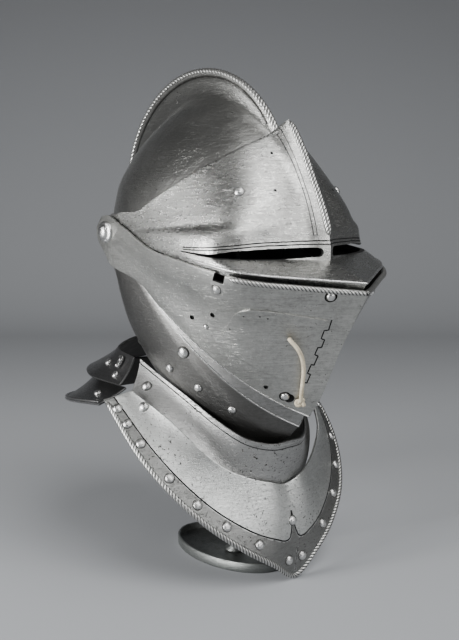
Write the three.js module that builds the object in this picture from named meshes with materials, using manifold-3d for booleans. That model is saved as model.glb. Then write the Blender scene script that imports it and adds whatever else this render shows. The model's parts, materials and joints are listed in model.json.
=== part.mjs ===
// Close helmet of plate armour on a low display stand, in millimetres, +Z up.
// The face looks along -Y and the wearer's right side is -X.
// The origin is on the floor, at the middle of the stand's base.
import * as THREE from 'three';
import { mergeVertices } from 'three/addons/utils/BufferGeometryUtils.js';
import Module from 'manifold-3d';

const wasm = await Module();
wasm.setup();

// Driving dimensions
const WALL = 2;
const SEAT = 0.35;
const PIVOT = { y: 46, z: 288 };
const BOLT = { hole: 4.6, shank: 4.2, head: 9, dome: 5.5, reach: 17 };
const SKULL_SIDE = 86;
const LAYER = 3.6;
const COMB = { y: 38, z: 316.3, radius: 110, from: -68, fade: 94, to: 124, root: 4, foot: 14 };
const CREST_HALF = 16;
const SIGHT = { low: -6.4, high: -3.4, inner: 5, outer: 87, near: 90, far: 190 };
const STAND = { half: 36, reach: 60, floor: 3, rim: 9, rimWall: 3, post: 4, postY: -6 };
const CROSSBAR = { half: 31, deep: 10, tall: 8 };

// Colours, from bright rivets to the dark neck plates
const RIVET_STEEL = 0xb9bcbe;
const STEEL = 0xa3a6a8;
const DARK_STEEL = 0x55585b;
const THONG_LEATHER = 0xd8cfb8;
const STAND_STEEL = 0x8f9294;

// Face plates are fans about the side pivots. Each row is a flat section through the pivot axis:
// angle above the horizon, reach from the axis at the middle, how far the sides sweep back,
// how square the cheek is, and how high the middle crest stands.
const VISOR = {
  half: SKULL_SIDE + 2 * LAYER,
  arm: { angle: 8, radius: 10.5 },
  rows: [
    { angle: -12, reach: 197, sweep: 0.3, full: 16, crest: 0 },
    { angle: -9.8, reach: 200.5, sweep: 0.28, full: 16, crest: 0 },
    { angle: -6.8, reach: 160, sweep: 0.21, full: 18, crest: 2 },
    { angle: -3, reach: 157, sweep: 0.21, full: 16, crest: 4 },
    { angle: 5, reach: 150, sweep: 0.13, full: 5.5, crest: 6 },
    { angle: 15, reach: 143, sweep: 0.05, full: 2.9, crest: 6 },
    { angle: 27, reach: 137, sweep: 0.06, full: 2.2, crest: 9 },
    { angle: 38, reach: 132, sweep: 0.08, full: 2, crest: 13.5 },
  ],
};
const UPPER_BEVOR = {
  half: SKULL_SIDE + 3 * LAYER,
  arm: { angle: -38, radius: 14 },
  rows: [
    { angle: -46.3, reach: 203, sweep: 0.35, full: 3, crest: 0 },
    { angle: -40, reach: 200, sweep: 0.34, full: 3.6, crest: 0 },
    { angle: -33, reach: 195.5, sweep: 0.34, full: 4.6, crest: 0 },
    { angle: -27, reach: 194, sweep: 0.33, full: 6, crest: 0 },
    { angle: -19, reach: 197, sweep: 0.3, full: 10, crest: 0 },
    { angle: -11.4, reach: 204, sweep: 0.28, full: 16, crest: 0 },
  ],
};
const BEVOR = {
  half: SKULL_SIDE + LAYER,
  arm: { angle: -58, radius: 15 },
  rows: [
    { angle: -97, reach: 121, sweep: 0.1, full: 2, crest: 0 },
    { angle: -84, reach: 172, sweep: 0.1, full: 2, crest: 0 },
    { angle: -72, reach: 197, sweep: 0.1, full: 2, crest: 0 },
    { angle: -62, reach: 205, sweep: 0.1, full: 2, crest: 0 },
    { angle: -56, reach: 205, sweep: 0.12, full: 2.1, crest: 0 },
    { angle: -50.5, reach: 203, sweep: 0.31, full: 3, crest: 0 },
    { angle: -46, reach: 197, sweep: 0.35, full: 3.2, crest: 0 },
    { angle: -36, reach: 186, sweep: 0.36, full: 4.2, crest: 0 },
    { angle: -21, reach: 181, sweep: 0.36, full: 4.6, crest: 0 },
  ],
};
// Lower edge of the bevor inside the neck lame, by turn round the section
const BEVOR_NECK = [
  { turn: 0, angle: -60.5 },
  { turn: 20, angle: -63.5 },
  { turn: 32, angle: -67.5 },
  { turn: 42, angle: -73 },
  { turn: 50, angle: -80 },
  { turn: 58, angle: -94 },
  { turn: 90, angle: -97 },
];
// Upper edge of the visor, by turn round the section
const VISOR_TOP = [
  { turn: 0, angle: 38 },
  { turn: 10, angle: 36 },
  { turn: 30, angle: 33.5 },
  { turn: 55, angle: 31 },
  { turn: 74, angle: 28 },
];
// Turns round a section, from the middle of the face to the arm
const TURNS = [0, 2, 5, 9, 15, 23, 32, 41, 50, 58, 66, 74];
// Steps along an arm past the last turn, in arm radii, down to its rounded end
const ARM_STEPS = [1.4, 0.6, -0.4, -0.9];

// Level sections of the skull: height, half width, front and back, and squareness
const SKULL_ROWS = [
  { z: 187, half: 61, front: -66, back: 99, full: 2.1 },
  { z: 215, half: 67, front: -78, back: 100, full: 2.1 },
  { z: 250, half: 76, front: -88, back: 107, full: 2.2 },
  { z: 288, half: 83.5, front: -91, back: 113, full: 2.3 },
  { z: 321, half: 76, front: -84, back: 111, full: 2.3 },
  { z: 350, half: 60, front: -67, back: 100.5, full: 2.2 },
  { z: 375, half: 40, front: -40, back: 80, full: 2.1 },
  { z: 390, half: 26, front: -15, back: 57, full: 2 },
  { z: 397, half: 12, front: 5, back: 39, full: 2 },
];
const SKULL_SIDES = 36;
// Face opening of the skull, seen from the side
const FACE_OPENING = [[-150, 306], [-30, 306], [5, 290], [14, 262], [16, 170], [-150, 170]];
// Half section of the comb: half width and share of the way down from its edge to the dome
const COMB_ROWS = [
  { half: 2.2, share: 0 },
  { half: 3, share: 0.04 },
  { half: 3.1, share: 0.14 },
  { half: 4.2, share: 0.36 },
  { half: 7, share: 0.62 },
  { half: 11, share: 0.84 },
  { half: 17, share: 1 },
];

const rad = THREE.MathUtils.degToRad;
const lerp = THREE.MathUtils.lerp;

// Value of one column of a table, at a place along its key column
function along(rows, key, at, column) {
  const rising = rows.at(-1)[key] > rows[0][key];
  const next = rows.findIndex((row) => (rising ? row[key] >= at : row[key] <= at));
  if (next === 0) {
    return rows[0][column];
  }
  if (next < 0) {
    return rows.at(-1)[column];
  }
  const before = rows[next - 1];
  const share = (at - before[key]) / (rows[next][key] - before[key]);
  return lerp(before[column], rows[next][column], share);
}

// Solid from a mesh whose shared vertices are merged
function solid(geometry) {
  const bare = new THREE.BufferGeometry();
  bare.setAttribute('position', geometry.getAttribute('position'));
  bare.setIndex(geometry.index);
  const merged = mergeVertices(bare, 1e-4);
  const vertProperties = new Float32Array(merged.getAttribute('position').array);
  const triVerts = new Uint32Array(merged.index.array);
  return new wasm.Manifold(new wasm.Mesh({ numProp: 3, vertProperties, triVerts }));
}

// Geometry back from a solid
function geometryOf(body) {
  const { vertProperties, triVerts } = body.getMesh();
  const geometry = new THREE.BufferGeometry();
  geometry.setAttribute('position', new THREE.BufferAttribute(new Float32Array(vertProperties), 3));
  geometry.setIndex(new THREE.BufferAttribute(new Uint32Array(triVerts), 1));
  return geometry;
}

// Mesh from points and the triangles between them
function meshGeometry(points, triangles) {
  const geometry = new THREE.BufferGeometry().setFromPoints(points);
  geometry.setIndex(triangles);
  return geometry;
}

// Direction out of a grid of points, columns running to +X and rows upward
function gridNormal(grid, c, r) {
  const right = grid[Math.min(c + 1, grid.length - 1)][r];
  const left = grid[Math.max(c - 1, 0)][r];
  const above = grid[c][Math.min(r + 1, grid[c].length - 1)];
  const below = grid[c][Math.max(r - 1, 0)];
  const sideways = right.clone().sub(left);
  const upward = above.clone().sub(below);
  return sideways.cross(upward).normalize();
}

// Grid moved along its own normals
function offsetGrid(grid, distance) {
  return grid.map((column, c) =>
    column.map((point, r) => point.clone().addScaledVector(gridNormal(grid, c, r), distance)),
  );
}

// Closed plate between a grid of outer points and the same grid one thickness inside
function plate(outer, thickness = WALL) {
  const inner = offsetGrid(outer, -thickness);
  const columns = outer.length;
  const rows = outer[0].length;
  const points = [...outer.flat(), ...inner.flat()];
  const out = (c, r) => c * rows + r;
  const back = (c, r) => columns * rows + c * rows + r;
  const triangles = [];
  const quad = (a, b, c, d) => triangles.push(a, b, c, a, c, d);
  for (let c = 0; c + 1 < columns; c += 1) {
    for (let r = 0; r + 1 < rows; r += 1) {
      quad(out(c, r), out(c + 1, r), out(c + 1, r + 1), out(c, r + 1));
      quad(back(c, r + 1), back(c + 1, r + 1), back(c + 1, r), back(c, r));
    }
    quad(back(c, 0), back(c + 1, 0), out(c + 1, 0), out(c, 0));
    quad(out(c, rows - 1), out(c + 1, rows - 1), back(c + 1, rows - 1), back(c, rows - 1));
  }
  for (let r = 0; r + 1 < rows; r += 1) {
    const last = columns - 1;
    quad(out(0, r), out(0, r + 1), back(0, r + 1), back(0, r));
    quad(back(last, r), back(last, r + 1), out(last, r + 1), out(last, r));
  }
  return meshGeometry(points, triangles);
}

// Closed solid through rings of points that run the same way round, bottom ring first
function lofted(rings) {
  const sides = rings[0].length;
  const triangles = [];
  const at = (ring, i) => ring * sides + (i % sides);
  for (let ring = 0; ring + 1 < rings.length; ring += 1) {
    for (let i = 0; i < sides; i += 1) {
      triangles.push(at(ring, i), at(ring, i + 1), at(ring + 1, i + 1));
      triangles.push(at(ring, i), at(ring + 1, i + 1), at(ring + 1, i));
    }
  }
  const middle = (ring) => {
    const sum = new THREE.Vector3();
    rings[ring].forEach((point) => sum.add(point));
    return sum.divideScalar(sides);
  };
  const top = rings.length - 1;
  const points = [...rings.flat(), middle(0), middle(top)];
  const low = rings.length * sides;
  for (let i = 0; i < sides; i += 1) {
    triangles.push(low, at(0, i + 1), at(0, i));
    triangles.push(low + 1, at(top, i), at(top, i + 1));
  }
  return meshGeometry(points, triangles);
}

// Point of a face plate, by turn round the section from the middle and by angle of the section
function facePoint(fan, turn, angle) {
  const reach = along(fan.rows, 'angle', angle, 'reach');
  const sweep = along(fan.rows, 'angle', angle, 'sweep');
  const full = along(fan.rows, 'angle', angle, 'full');
  const crest = along(fan.rows, 'angle', angle, 'crest');
  const side = Math.sin(rad(Math.abs(turn)));
  const ahead = Math.cos(rad(turn));
  let low = 0;
  let high = 1.5;
  for (let step = 0; step < 40; step += 1) {
    const mid = (low + high) / 2;
    const s = Math.min(mid * side, 1);
    const edge = (1 - sweep * s) * Math.sqrt(1 - s ** full);
    if (mid * ahead < edge) {
      low = mid;
    } else {
      high = mid;
    }
  }
  const x = Math.sign(turn) * low * side * fan.half;
  const lift = crest * Math.max(0, 1 - (Math.abs(x) / CREST_HALF) ** 1.3);
  const rho = reach * low * ahead + lift;
  const y = PIVOT.y - rho * Math.cos(rad(angle));
  const z = PIVOT.z + rho * Math.sin(rad(angle));
  return new THREE.Vector3(x, y, z);
}

// Point of a plate's arm, by steps along it and across it from the pivot
function armPoint(fan, sign, step, across) {
  const axis = rad(fan.arm.angle);
  const y = -step * Math.cos(axis) + across * Math.sin(axis);
  const z = step * Math.sin(axis) + across * Math.cos(axis);
  const rho = Math.hypot(y, z);
  const angle = THREE.MathUtils.radToDeg(Math.atan2(z, -y));
  const wide = along(fan.rows, 'angle', angle, 'reach');
  const sweep = along(fan.rows, 'angle', angle, 'sweep');
  const full = along(fan.rows, 'angle', angle, 'full');
  const flat = (1 - Math.min(1, rho / (wide * (1 - sweep))) ** 2) ** (1 / full);
  return new THREE.Vector3(sign * fan.half * flat, PIVOT.y + y, PIVOT.z + z);
}

// Outer grid of a face plate: one column for each turn, with rows at the angles for that turn
function faceGrid(fan, anglesAt) {
  const side = (sign) => {
    const columns = TURNS.map((turn) =>
      anglesAt(turn).map((angle) => facePoint(fan, sign * turn, angle)),
    );
    const angles = anglesAt(TURNS.at(-1));
    const span = angles.at(-1) - angles[0];
    const { radius } = fan.arm;
    for (const step of ARM_STEPS) {
      const halfArm = step > 0 ? lerp(radius, radius * 1.35, step / ARM_STEPS[0]) : 0;
      const across = Math.max(halfArm, radius * Math.sqrt(1 - Math.min(0, step) ** 2));
      columns.push(
        angles.map((angle) => {
          const share = (2 * (angle - angles[0])) / span - 1;
          return armPoint(fan, sign, step * radius, share * across);
        }),
      );
    }
    return columns;
  };
  return [...side(-1).reverse(), ...side(1).slice(1)];
}

// Prism of a side outline, from one X to another
function sidePrism(outline, fromX, toX) {
  const shape = new THREE.Shape(outline.map(([y, z]) => new THREE.Vector2(y, z)));
  const geometry = new THREE.ExtrudeGeometry(shape, { depth: toX - fromX, bevelEnabled: false });
  geometry.applyMatrix4(new THREE.Matrix4().set(0, 0, 1, fromX, 1, 0, 0, 0, 0, 1, 0, 0, 0, 0, 0, 1));
  const bare = new THREE.BufferGeometry();
  bare.setAttribute('position', geometry.getAttribute('position'));
  return mergeVertices(bare, 1e-4);
}

// Holes for the side bolts, right through every plate
function boltHoles() {
  const length = 2 * (UPPER_BEVOR.half + LAYER);
  const bore = new THREE.CylinderGeometry(BOLT.hole, BOLT.hole, length, 16);
  bore.rotateZ(Math.PI / 2);
  bore.translate(0, PIVOT.y, PIVOT.z);
  return solid(bore);
}

// Sight slits of the visor
function sights() {
  const corner = (angle, rho) => [
    PIVOT.y - rho * Math.cos(rad(angle)),
    PIVOT.z + rho * Math.sin(rad(angle)),
  ];
  const outline = [
    corner(SIGHT.low, SIGHT.near),
    corner(SIGHT.low, SIGHT.far),
    corner(SIGHT.high, SIGHT.far),
    corner(SIGHT.high, SIGHT.near),
  ];
  const right = solid(sidePrism(outline, -SIGHT.outer, -SIGHT.inner));
  const left = solid(sidePrism(outline, SIGHT.inner, SIGHT.outer));
  return right.add(left);
}

// Level ring of the skull, drawn in by an inset
function skullRing(row, inset) {
  const half = row.half - inset;
  const middle = (row.front + row.back) / 2;
  const depth = (row.back - row.front) / 2 - inset;
  return Array.from({ length: SKULL_SIDES }, (_, i) => {
    const turn = (2 * Math.PI * i) / SKULL_SIDES;
    const c = Math.cos(turn);
    const s = Math.sin(turn);
    const size = (Math.abs(c) ** row.full + Math.abs(s) ** row.full) ** (-1 / row.full);
    return new THREE.Vector3(half * size * c, middle + depth * size * s, row.z);
  });
}

// Solid dome of the skull, drawn in by an inset
function skullDome(inset) {
  const rings = SKULL_ROWS.map((row) => skullRing(row, inset));
  rings.forEach((ring) => ring.forEach((point) => point.setZ(point.z - inset)));
  return solid(lofted(rings));
}

// Distance from the comb's centre to the dome in the middle plane, along a turn from upright to the back
function domeReach(turn) {
  let near = 0;
  let far = COMB.radius;
  for (let i = 0; i < 24; i += 1) {
    const r = (near + far) / 2;
    const y = COMB.y + r * Math.sin(rad(turn));
    const z = COMB.z + r * Math.cos(rad(turn));
    const behindFront = y > along(SKULL_ROWS, 'z', z, 'front');
    const beforeBack = y < along(SKULL_ROWS, 'z', z, 'back');
    if (z < SKULL_ROWS.at(-1).z && behindFront && beforeBack) {
      near = r;
    } else {
      far = r;
    }
  }
  return near;
}

// Radius of the comb's edge: a round arc that runs out into the dome at the nape
function combEdge(turn) {
  const low = domeReach(turn);
  const past = Math.max(0, (turn - COMB.fade) / (COMB.to - COMB.fade));
  return Math.max(low + 1, lerp(COMB.radius, low, past ** 2));
}

// Comb: its half section carried round an arc from brow to nape, drawn in by an inset
function combFin(inset) {
  const steps = 20;
  const rows = COMB_ROWS.filter((row) => row.half > 1.5 * inset);
  const rings = Array.from({ length: steps + 1 }, (_, i) => {
    const turn = lerp(COMB.from + inset, COMB.to - inset, i / steps);
    const edge = combEdge(turn);
    const low = domeReach(turn);
    const spread = Math.min(1, 0.3 + (edge - low) / 30);
    const at = (half, reach) => {
      const r = reach - inset;
      const x = Math.sign(half) * Math.max(0.4, Math.abs(half) * spread - inset);
      return new THREE.Vector3(x, COMB.y + r * Math.sin(rad(turn)), COMB.z + r * Math.cos(rad(turn)));
    };
    const side = (sign) => {
      const flank = rows.map((row) => at(sign * row.half, lerp(edge, low - COMB.root, row.share)));
      return [...flank, at(sign * rows.at(-1).half, low - COMB.foot)];
    };
    return [...side(1), ...side(-1).reverse()];
  });
  return solid(lofted(rings));
}

function skullGeometry() {
  const opening = solid(sidePrism(FACE_OPENING, -150, 150));
  const hollow = skullDome(WALL).add(combFin(WALL));
  const shell = skullDome(0).add(combFin(0)).subtract(hollow);
  return geometryOf(shell.subtract(opening).subtract(boltHoles()));
}

// Angles of a fan's own rows
const rowAngles = (fan) => fan.rows.map((row) => row.angle);

function visorGeometry() {
  const kept = rowAngles(VISOR).slice(0, -2);
  const anglesAt = (turn) => {
    const top = along(VISOR_TOP, 'turn', turn, 'angle');
    return [...kept, lerp(kept.at(-1), top, 0.5), top];
  };
  const shell = solid(plate(faceGrid(VISOR, anglesAt)));
  return geometryOf(shell.subtract(sights()).subtract(boltHoles()));
}

function upperBevorGeometry() {
  const angles = rowAngles(UPPER_BEVOR);
  const shell = solid(plate(faceGrid(UPPER_BEVOR, () => angles)));
  return geometryOf(shell.subtract(boltHoles()));
}

function bevorGeometry() {
  const fold = -50.5;
  const kept = rowAngles(BEVOR).filter((angle) => angle >= fold);
  const anglesAt = (turn) => {
    const neck = along(BEVOR_NECK, 'turn', turn, 'angle');
    return [neck, lerp(neck, fold, 0.35), lerp(neck, fold, 0.7), ...kept];
  };
  const shell = solid(plate(faceGrid(BEVOR, anglesAt)));
  return geometryOf(shell.subtract(boltHoles()));
}

// Neck plates. Each row joins a point of the upper edge to one of the lower edge,
// from the middle line round to the end of the plate.
const NECK_LAME = [
  { top: [0, -75, 118], rim: [0, -64.5, 72], sag: 0 },
  { top: [17, -72, 117], rim: [17, -64, 77], sag: 1 },
  { top: [35, -59, 122], rim: [34, -58, 83], sag: 1.5 },
  { top: [49, -38, 136], rim: [52, -47, 96], sag: 1.5 },
  { top: [59, -13, 153], rim: [66, -33, 113], sag: 1.5 },
  { top: [66.4, 14, 168], rim: [79, -3, 139], sag: 1.5 },
  { top: [70.4, 37, 180], rim: [88, 27, 154], sag: 1.5 },
];
const GORGET_FRONT = [
  { top: [0, -69, 80], rim: [0, -81, 1], sag: -4 },
  { top: [16, -69, 84], rim: [25, -82, 17], sag: -1.5 },
  { top: [32, -64, 89], rim: [52, -76, 35], sag: 1.5 },
  { top: [52, -54, 99], rim: [79, -62, 58], sag: 3 },
  { top: [68, -43, 114], rim: [99, -40, 84], sag: 3.5 },
  { top: [81, -18, 137], rim: [110, -14, 110], sag: 3 },
  { top: [92, 20, 158], rim: [113, 31, 152], sag: 2 },
];
const REAR_LAME = [
  { top: [74, 41, 181], rim: [93, 37, 160], sag: 2 },
  { top: [65, 77, 184], rim: [89, 88, 161], sag: 3 },
  { top: [39, 92, 188], rim: [56, 131, 161], sag: 3 },
  { top: [0, 100.9, 189], rim: [0, 147, 158], sag: 3 },
];
const GORGET_REAR = [
  { top: [85, 38, 157], rim: [111, 41, 146], sag: 2 },
  { top: [81, 86, 156], rim: [109, 90, 141], sag: 3 },
  { top: [51, 126, 155], rim: [71, 147, 130], sag: 3 },
  { top: [0, 143, 157.5], rim: [0, 180, 123], sag: 3 },
];
const NECK_AXIS_Y = 30;

// Surface of a neck plate, by share along its length from one end to the other and up from its rim.
// The sag draws the middle of the plate in towards the neck.
function neckSurface(rows, fromFront) {
  const curve = (pick) => {
    const half = rows.map((row) => new THREE.Vector3(...pick(row)));
    const middle = fromFront ? half.slice(1) : half.slice(0, -1);
    const other = middle.map((point) => new THREE.Vector3(-point.x, point.y, point.z)).reverse();
    return new THREE.CatmullRomCurve3(fromFront ? [...other, ...half] : [...half, ...other]);
  };
  const top = curve((row) => row.top);
  const rim = curve((row) => row.rim);
  const sag = curve((row) => [0, 0, row.sag]);
  return (share, height) => {
    const point = rim.getPoint(share).lerp(top.getPoint(share), height);
    const inward = new THREE.Vector3(-point.x, NECK_AXIS_Y - point.y, 0).normalize();
    return point.addScaledVector(inward, sag.getPoint(share).z * 4 * height * (1 - height));
  };
}

// Outer grid of a surface given by two shares
function surfaceGrid(surface, columns, rows) {
  return Array.from({ length: columns + 1 }, (_, c) =>
    Array.from({ length: rows + 1 }, (__, r) => surface(c / columns, r / rows)),
  );
}

// Dome-headed rivet standing on +Z
function rivetGeometry(radius) {
  const profile = [[0, 0], [1, 0], [0.93, 0.28], [0.6, 0.57], [0, 0.66]];
  const points = profile.map(([r, h]) => new THREE.Vector2(r * radius, h * radius));
  return new THREE.LatheGeometry(points, 8).rotateX(Math.PI / 2);
}

// Side bolt: domed head on +Z with its shank below
function boltGeometry() {
  const { head, dome, shank, reach } = BOLT;
  const profile = [[0, -reach], [shank, -reach], [shank, 0], [head, 0], [head * 0.97, dome * 0.3]];
  const cap = [[head * 0.78, dome * 0.72], [head * 0.42, dome * 0.96], [0, dome]];
  const points = [...profile, ...cap].map(([r, h]) => new THREE.Vector2(r, h));
  return new THREE.LatheGeometry(points, 16).rotateX(Math.PI / 2);
}

// Materials and the assembled group
const metal = (color, roughness) => new THREE.MeshStandardMaterial({ color, roughness, metalness: 1 });
const leather = (color) => new THREE.MeshStandardMaterial({ color, roughness: 0.8, metalness: 0 });

const helmet = new THREE.Group();

function addMesh(name, geometry, material) {
  const mesh = new THREE.Mesh(geometry, material);
  mesh.name = name;
  helmet.add(mesh);
  return mesh;
}

// Place on a plate's outer face, found by a ray along the surface's own normal
function seatOn(mesh, pointAt, a, b) {
  const step = 1e-3;
  const right = pointAt(a + step, b).sub(pointAt(a - step, b));
  const upward = pointAt(a, b + step).sub(pointAt(a, b - step));
  const normal = right.cross(upward).normalize();
  const start = pointAt(a, b).addScaledVector(normal, 20);
  const ray = new THREE.Raycaster(start, normal.clone().negate());
  const [hit] = ray.intersectObject(mesh);
  return { point: hit.point, normal: hit.face.normal.clone() };
}

// Piece that stands on a plate, along the plate's normal
function standOn(name, geometry, material, seat, gap = SEAT) {
  const mesh = addMesh(name, geometry, material);
  mesh.position.copy(seat.point).addScaledVector(seat.normal, gap);
  mesh.quaternion.setFromUnitVectors(new THREE.Vector3(0, 0, 1), seat.normal);
  return mesh;
}

const SIDES = [{ name: 'right', sign: -1 }, { name: 'left', sign: 1 }];

// Head plates
const skull = addMesh('skull', skullGeometry(), metal(STEEL, 0.38));
const visor = addMesh('visor', visorGeometry(), metal(STEEL, 0.36));
const upperBevor = addMesh('upper_bevor', upperBevorGeometry(), metal(STEEL, 0.38));
const bevor = addMesh('bevor', bevorGeometry(), metal(STEEL, 0.4));

// Neck plates
const frontSurface = neckSurface(GORGET_FRONT, true);
const lameSurface = neckSurface(NECK_LAME, true);
const rearSurface = neckSurface(GORGET_REAR, false);
const rearLameSurface = neckSurface(REAR_LAME, false);
const gorgetFront = addMesh('gorget_front', plate(surfaceGrid(frontSurface, 32, 4)), metal(STEEL, 0.42));
const neckLame = addMesh('neck_lame', plate(surfaceGrid(lameSurface, 28, 3)), metal(STEEL, 0.42));
const gorgetRear = addMesh('gorget_rear', plate(surfaceGrid(rearSurface, 22, 3)), metal(DARK_STEEL, 0.45));
const rearLame = addMesh('rear_lame', plate(surfaceGrid(rearLameSurface, 22, 3)), metal(DARK_STEEL, 0.45));

// Side bolts
for (const { name, sign } of SIDES) {
  const bolt = addMesh(`pivot_bolt_${name}`, boltGeometry(), metal(RIVET_STEEL, 0.3));
  bolt.position.set(sign * (UPPER_BEVOR.half + SEAT), PIVOT.y, PIVOT.z);
  bolt.rotation.y = (sign * Math.PI) / 2;
}

// Rivets of the head plates: turn from the middle line and angle of section
const FACE_RIVETS = [
  { name: 'visor_rivet', mesh: visor, fan: VISOR, turn: 34.7, angle: 16, radius: 4 },
  { name: 'bevor_hinge_rivet', mesh: bevor, fan: BEVOR, turn: 54, angle: -54.6, radius: 4.8 },
  { name: 'bevor_lining_rivet_a', mesh: bevor, fan: BEVOR, turn: 52, angle: -67, radius: 3.6 },
  { name: 'bevor_lining_rivet_b', mesh: bevor, fan: BEVOR, turn: 43, angle: -60, radius: 3.6 },
  { name: 'bevor_lining_rivet_c', mesh: bevor, fan: BEVOR, turn: 30, angle: -56, radius: 3.6 },
  { name: 'upper_bevor_stud_top', mesh: upperBevor, fan: UPPER_BEVOR, turn: 14.6, angle: -13.4, radius: 3.4 },
  { name: 'upper_bevor_stud_low', mesh: upperBevor, fan: UPPER_BEVOR, turn: 13.8, angle: -43.4, radius: 3.4 },
];
for (const rivet of FACE_RIVETS) {
  const pointAt = (turn, angle) => facePoint(rivet.fan, turn, angle);
  for (const { name, sign } of SIDES) {
    const seat = seatOn(rivet.mesh, pointAt, sign * rivet.turn, rivet.angle);
    const gap = SEAT * (1 + rivet.radius / 10);
    standOn(`${rivet.name}_${name}`, rivetGeometry(rivet.radius), metal(RIVET_STEEL, 0.3), seat, gap);
  }
}

// Border rivets of the front plate: share of the way from the middle line to the end
const BORDER_SHARES = [0.055, 0.26, 0.43, 0.57, 0.71, 0.86, 0.92, 0.965];
BORDER_SHARES.forEach((share, i) => {
  for (const { name, sign } of SIDES) {
    const seat = seatOn(gorgetFront, frontSurface, 0.5 + (sign * share) / 2, 0.19);
    standOn(`border_rivet_${i + 1}_${name}`, rivetGeometry(4), metal(RIVET_STEEL, 0.3), seat);
  }
});
standOn('border_rivet_point', rivetGeometry(4), metal(RIVET_STEEL, 0.3),
  seatOn(gorgetFront, frontSurface, 0.5, 0.62));

// Rivets of the neck plates: share of the way from the middle of the face round to the nape
const NECK_RIVETS = [
  { name: 'gorget_strap_rivet', mesh: gorgetFront, surface: frontSurface, share: 0.93, height: 0.82 },
  { name: 'neck_lame_rivet', mesh: neckLame, surface: lameSurface, share: 0.93, height: 0.42 },
];
const REAR_RIVETS = [
  { name: 'rear_lame_rivet_low', mesh: rearLame, surface: rearLameSurface, share: 0.9, height: 0.25 },
  { name: 'rear_lame_rivet_high', mesh: rearLame, surface: rearLameSurface, share: 0.72, height: 0.5 },
  { name: 'gorget_rear_rivet', mesh: gorgetRear, surface: rearSurface, share: 0.84, height: 0.45 },
];
for (const { name, sign } of SIDES) {
  for (const rivet of NECK_RIVETS) {
    const seat = seatOn(rivet.mesh, rivet.surface, 0.5 + (sign * rivet.share) / 2, rivet.height);
    standOn(`${rivet.name}_${name}`, rivetGeometry(4), metal(RIVET_STEEL, 0.3), seat);
  }
  for (const rivet of REAR_RIVETS) {
    const seat = seatOn(rivet.mesh, rivet.surface, 0.5 - (sign * rivet.share) / 2, rivet.height);
    standOn(`${rivet.name}_${name}`, rivetGeometry(3.4), metal(RIVET_STEEL, 0.35), seat);
  }
}

// Breath door on the right of the upper bevor: upper and lower edge by turn, round at the back
const DOOR = { gap: 0.6, wall: 1.2 };
const DOOR_ROWS = [
  { turn: -45, low: -34.5, high: -24 },
  { turn: -43.5, low: -37, high: -21.7 },
  { turn: -41, low: -38.5, high: -20.3 },
  { turn: -32, low: -39.2, high: -19.6 },
  { turn: -23, low: -39.2, high: -19.6 },
  { turn: -15, low: -38.8, high: -19.6 },
  { turn: -10, low: -38.4, high: -19.6 },
];
const doorGrid = DOOR_ROWS.map(({ turn, low, high }) =>
  [0, 0.3, 0.62, 1].map((share) => facePoint(UPPER_BEVOR, turn, lerp(low, high, share))),
);
addMesh('vent_door', plate(offsetGrid(doorGrid, DOOR.gap + DOOR.wall), DOOR.wall), metal(STEEL, 0.38));

// Thong that ties the door: turn, angle and height above the upper bevor along its run
const THONG_RADIUS = 1.6;
const THONG_ROWS = [
  { turn: -23, angle: -26.5, lift: 2.7 },
  { turn: -22.2, angle: -26.6, lift: 5.2 },
  { turn: -19.5, angle: -27.6, lift: 7 },
  { turn: -15.8, angle: -29.9, lift: 7.4 },
  { turn: -13, angle: -33, lift: 7 },
  { turn: -11.3, angle: -36.4, lift: 6.2 },
  { turn: -9.4, angle: -39.8, lift: 5.4 },
  { turn: -7.8, angle: -42, lift: 4.4 },
  { turn: -7, angle: -43, lift: 1 },
];
function thongPoint({ turn, angle, lift }) {
  const step = 1e-3;
  const right = facePoint(UPPER_BEVOR, turn + step, angle).sub(facePoint(UPPER_BEVOR, turn - step, angle));
  const upward = facePoint(UPPER_BEVOR, turn, angle + step).sub(facePoint(UPPER_BEVOR, turn, angle - step));
  return facePoint(UPPER_BEVOR, turn, angle).addScaledVector(right.cross(upward).normalize(), lift);
}
const thongPath = new THREE.CatmullRomCurve3(THONG_ROWS.map(thongPoint));
const thongSection = new THREE.Shape().absarc(0, 0, THONG_RADIUS, 0, 2 * Math.PI);
addMesh('thong', new THREE.ExtrudeGeometry(thongSection, { extrudePath: thongPath, steps: 22, curveSegments: 8 }),
  leather(THONG_LEATHER));

// Neck catch: a flat hook on the right end of the rear lame, its ends nearest the hollow plate
const CATCH_GAP = 1.1;
function catchGeometry() {
  const outline = [[-5, -2], [4, -2], [6.5, 0], [6.5, 4.5], [4.5, 4.5], [4, 1.5], [-5, 2]];
  const shape = new THREE.Shape(outline.map(([x, y]) => new THREE.Vector2(x, y)));
  return new THREE.ExtrudeGeometry(shape, { depth: 2.5, bevelEnabled: false });
}
standOn('neck_catch', catchGeometry(), metal(STEEL, 0.4), seatOn(rearLame, rearLameSurface, 0.94, 0.6), CATCH_GAP);

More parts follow.
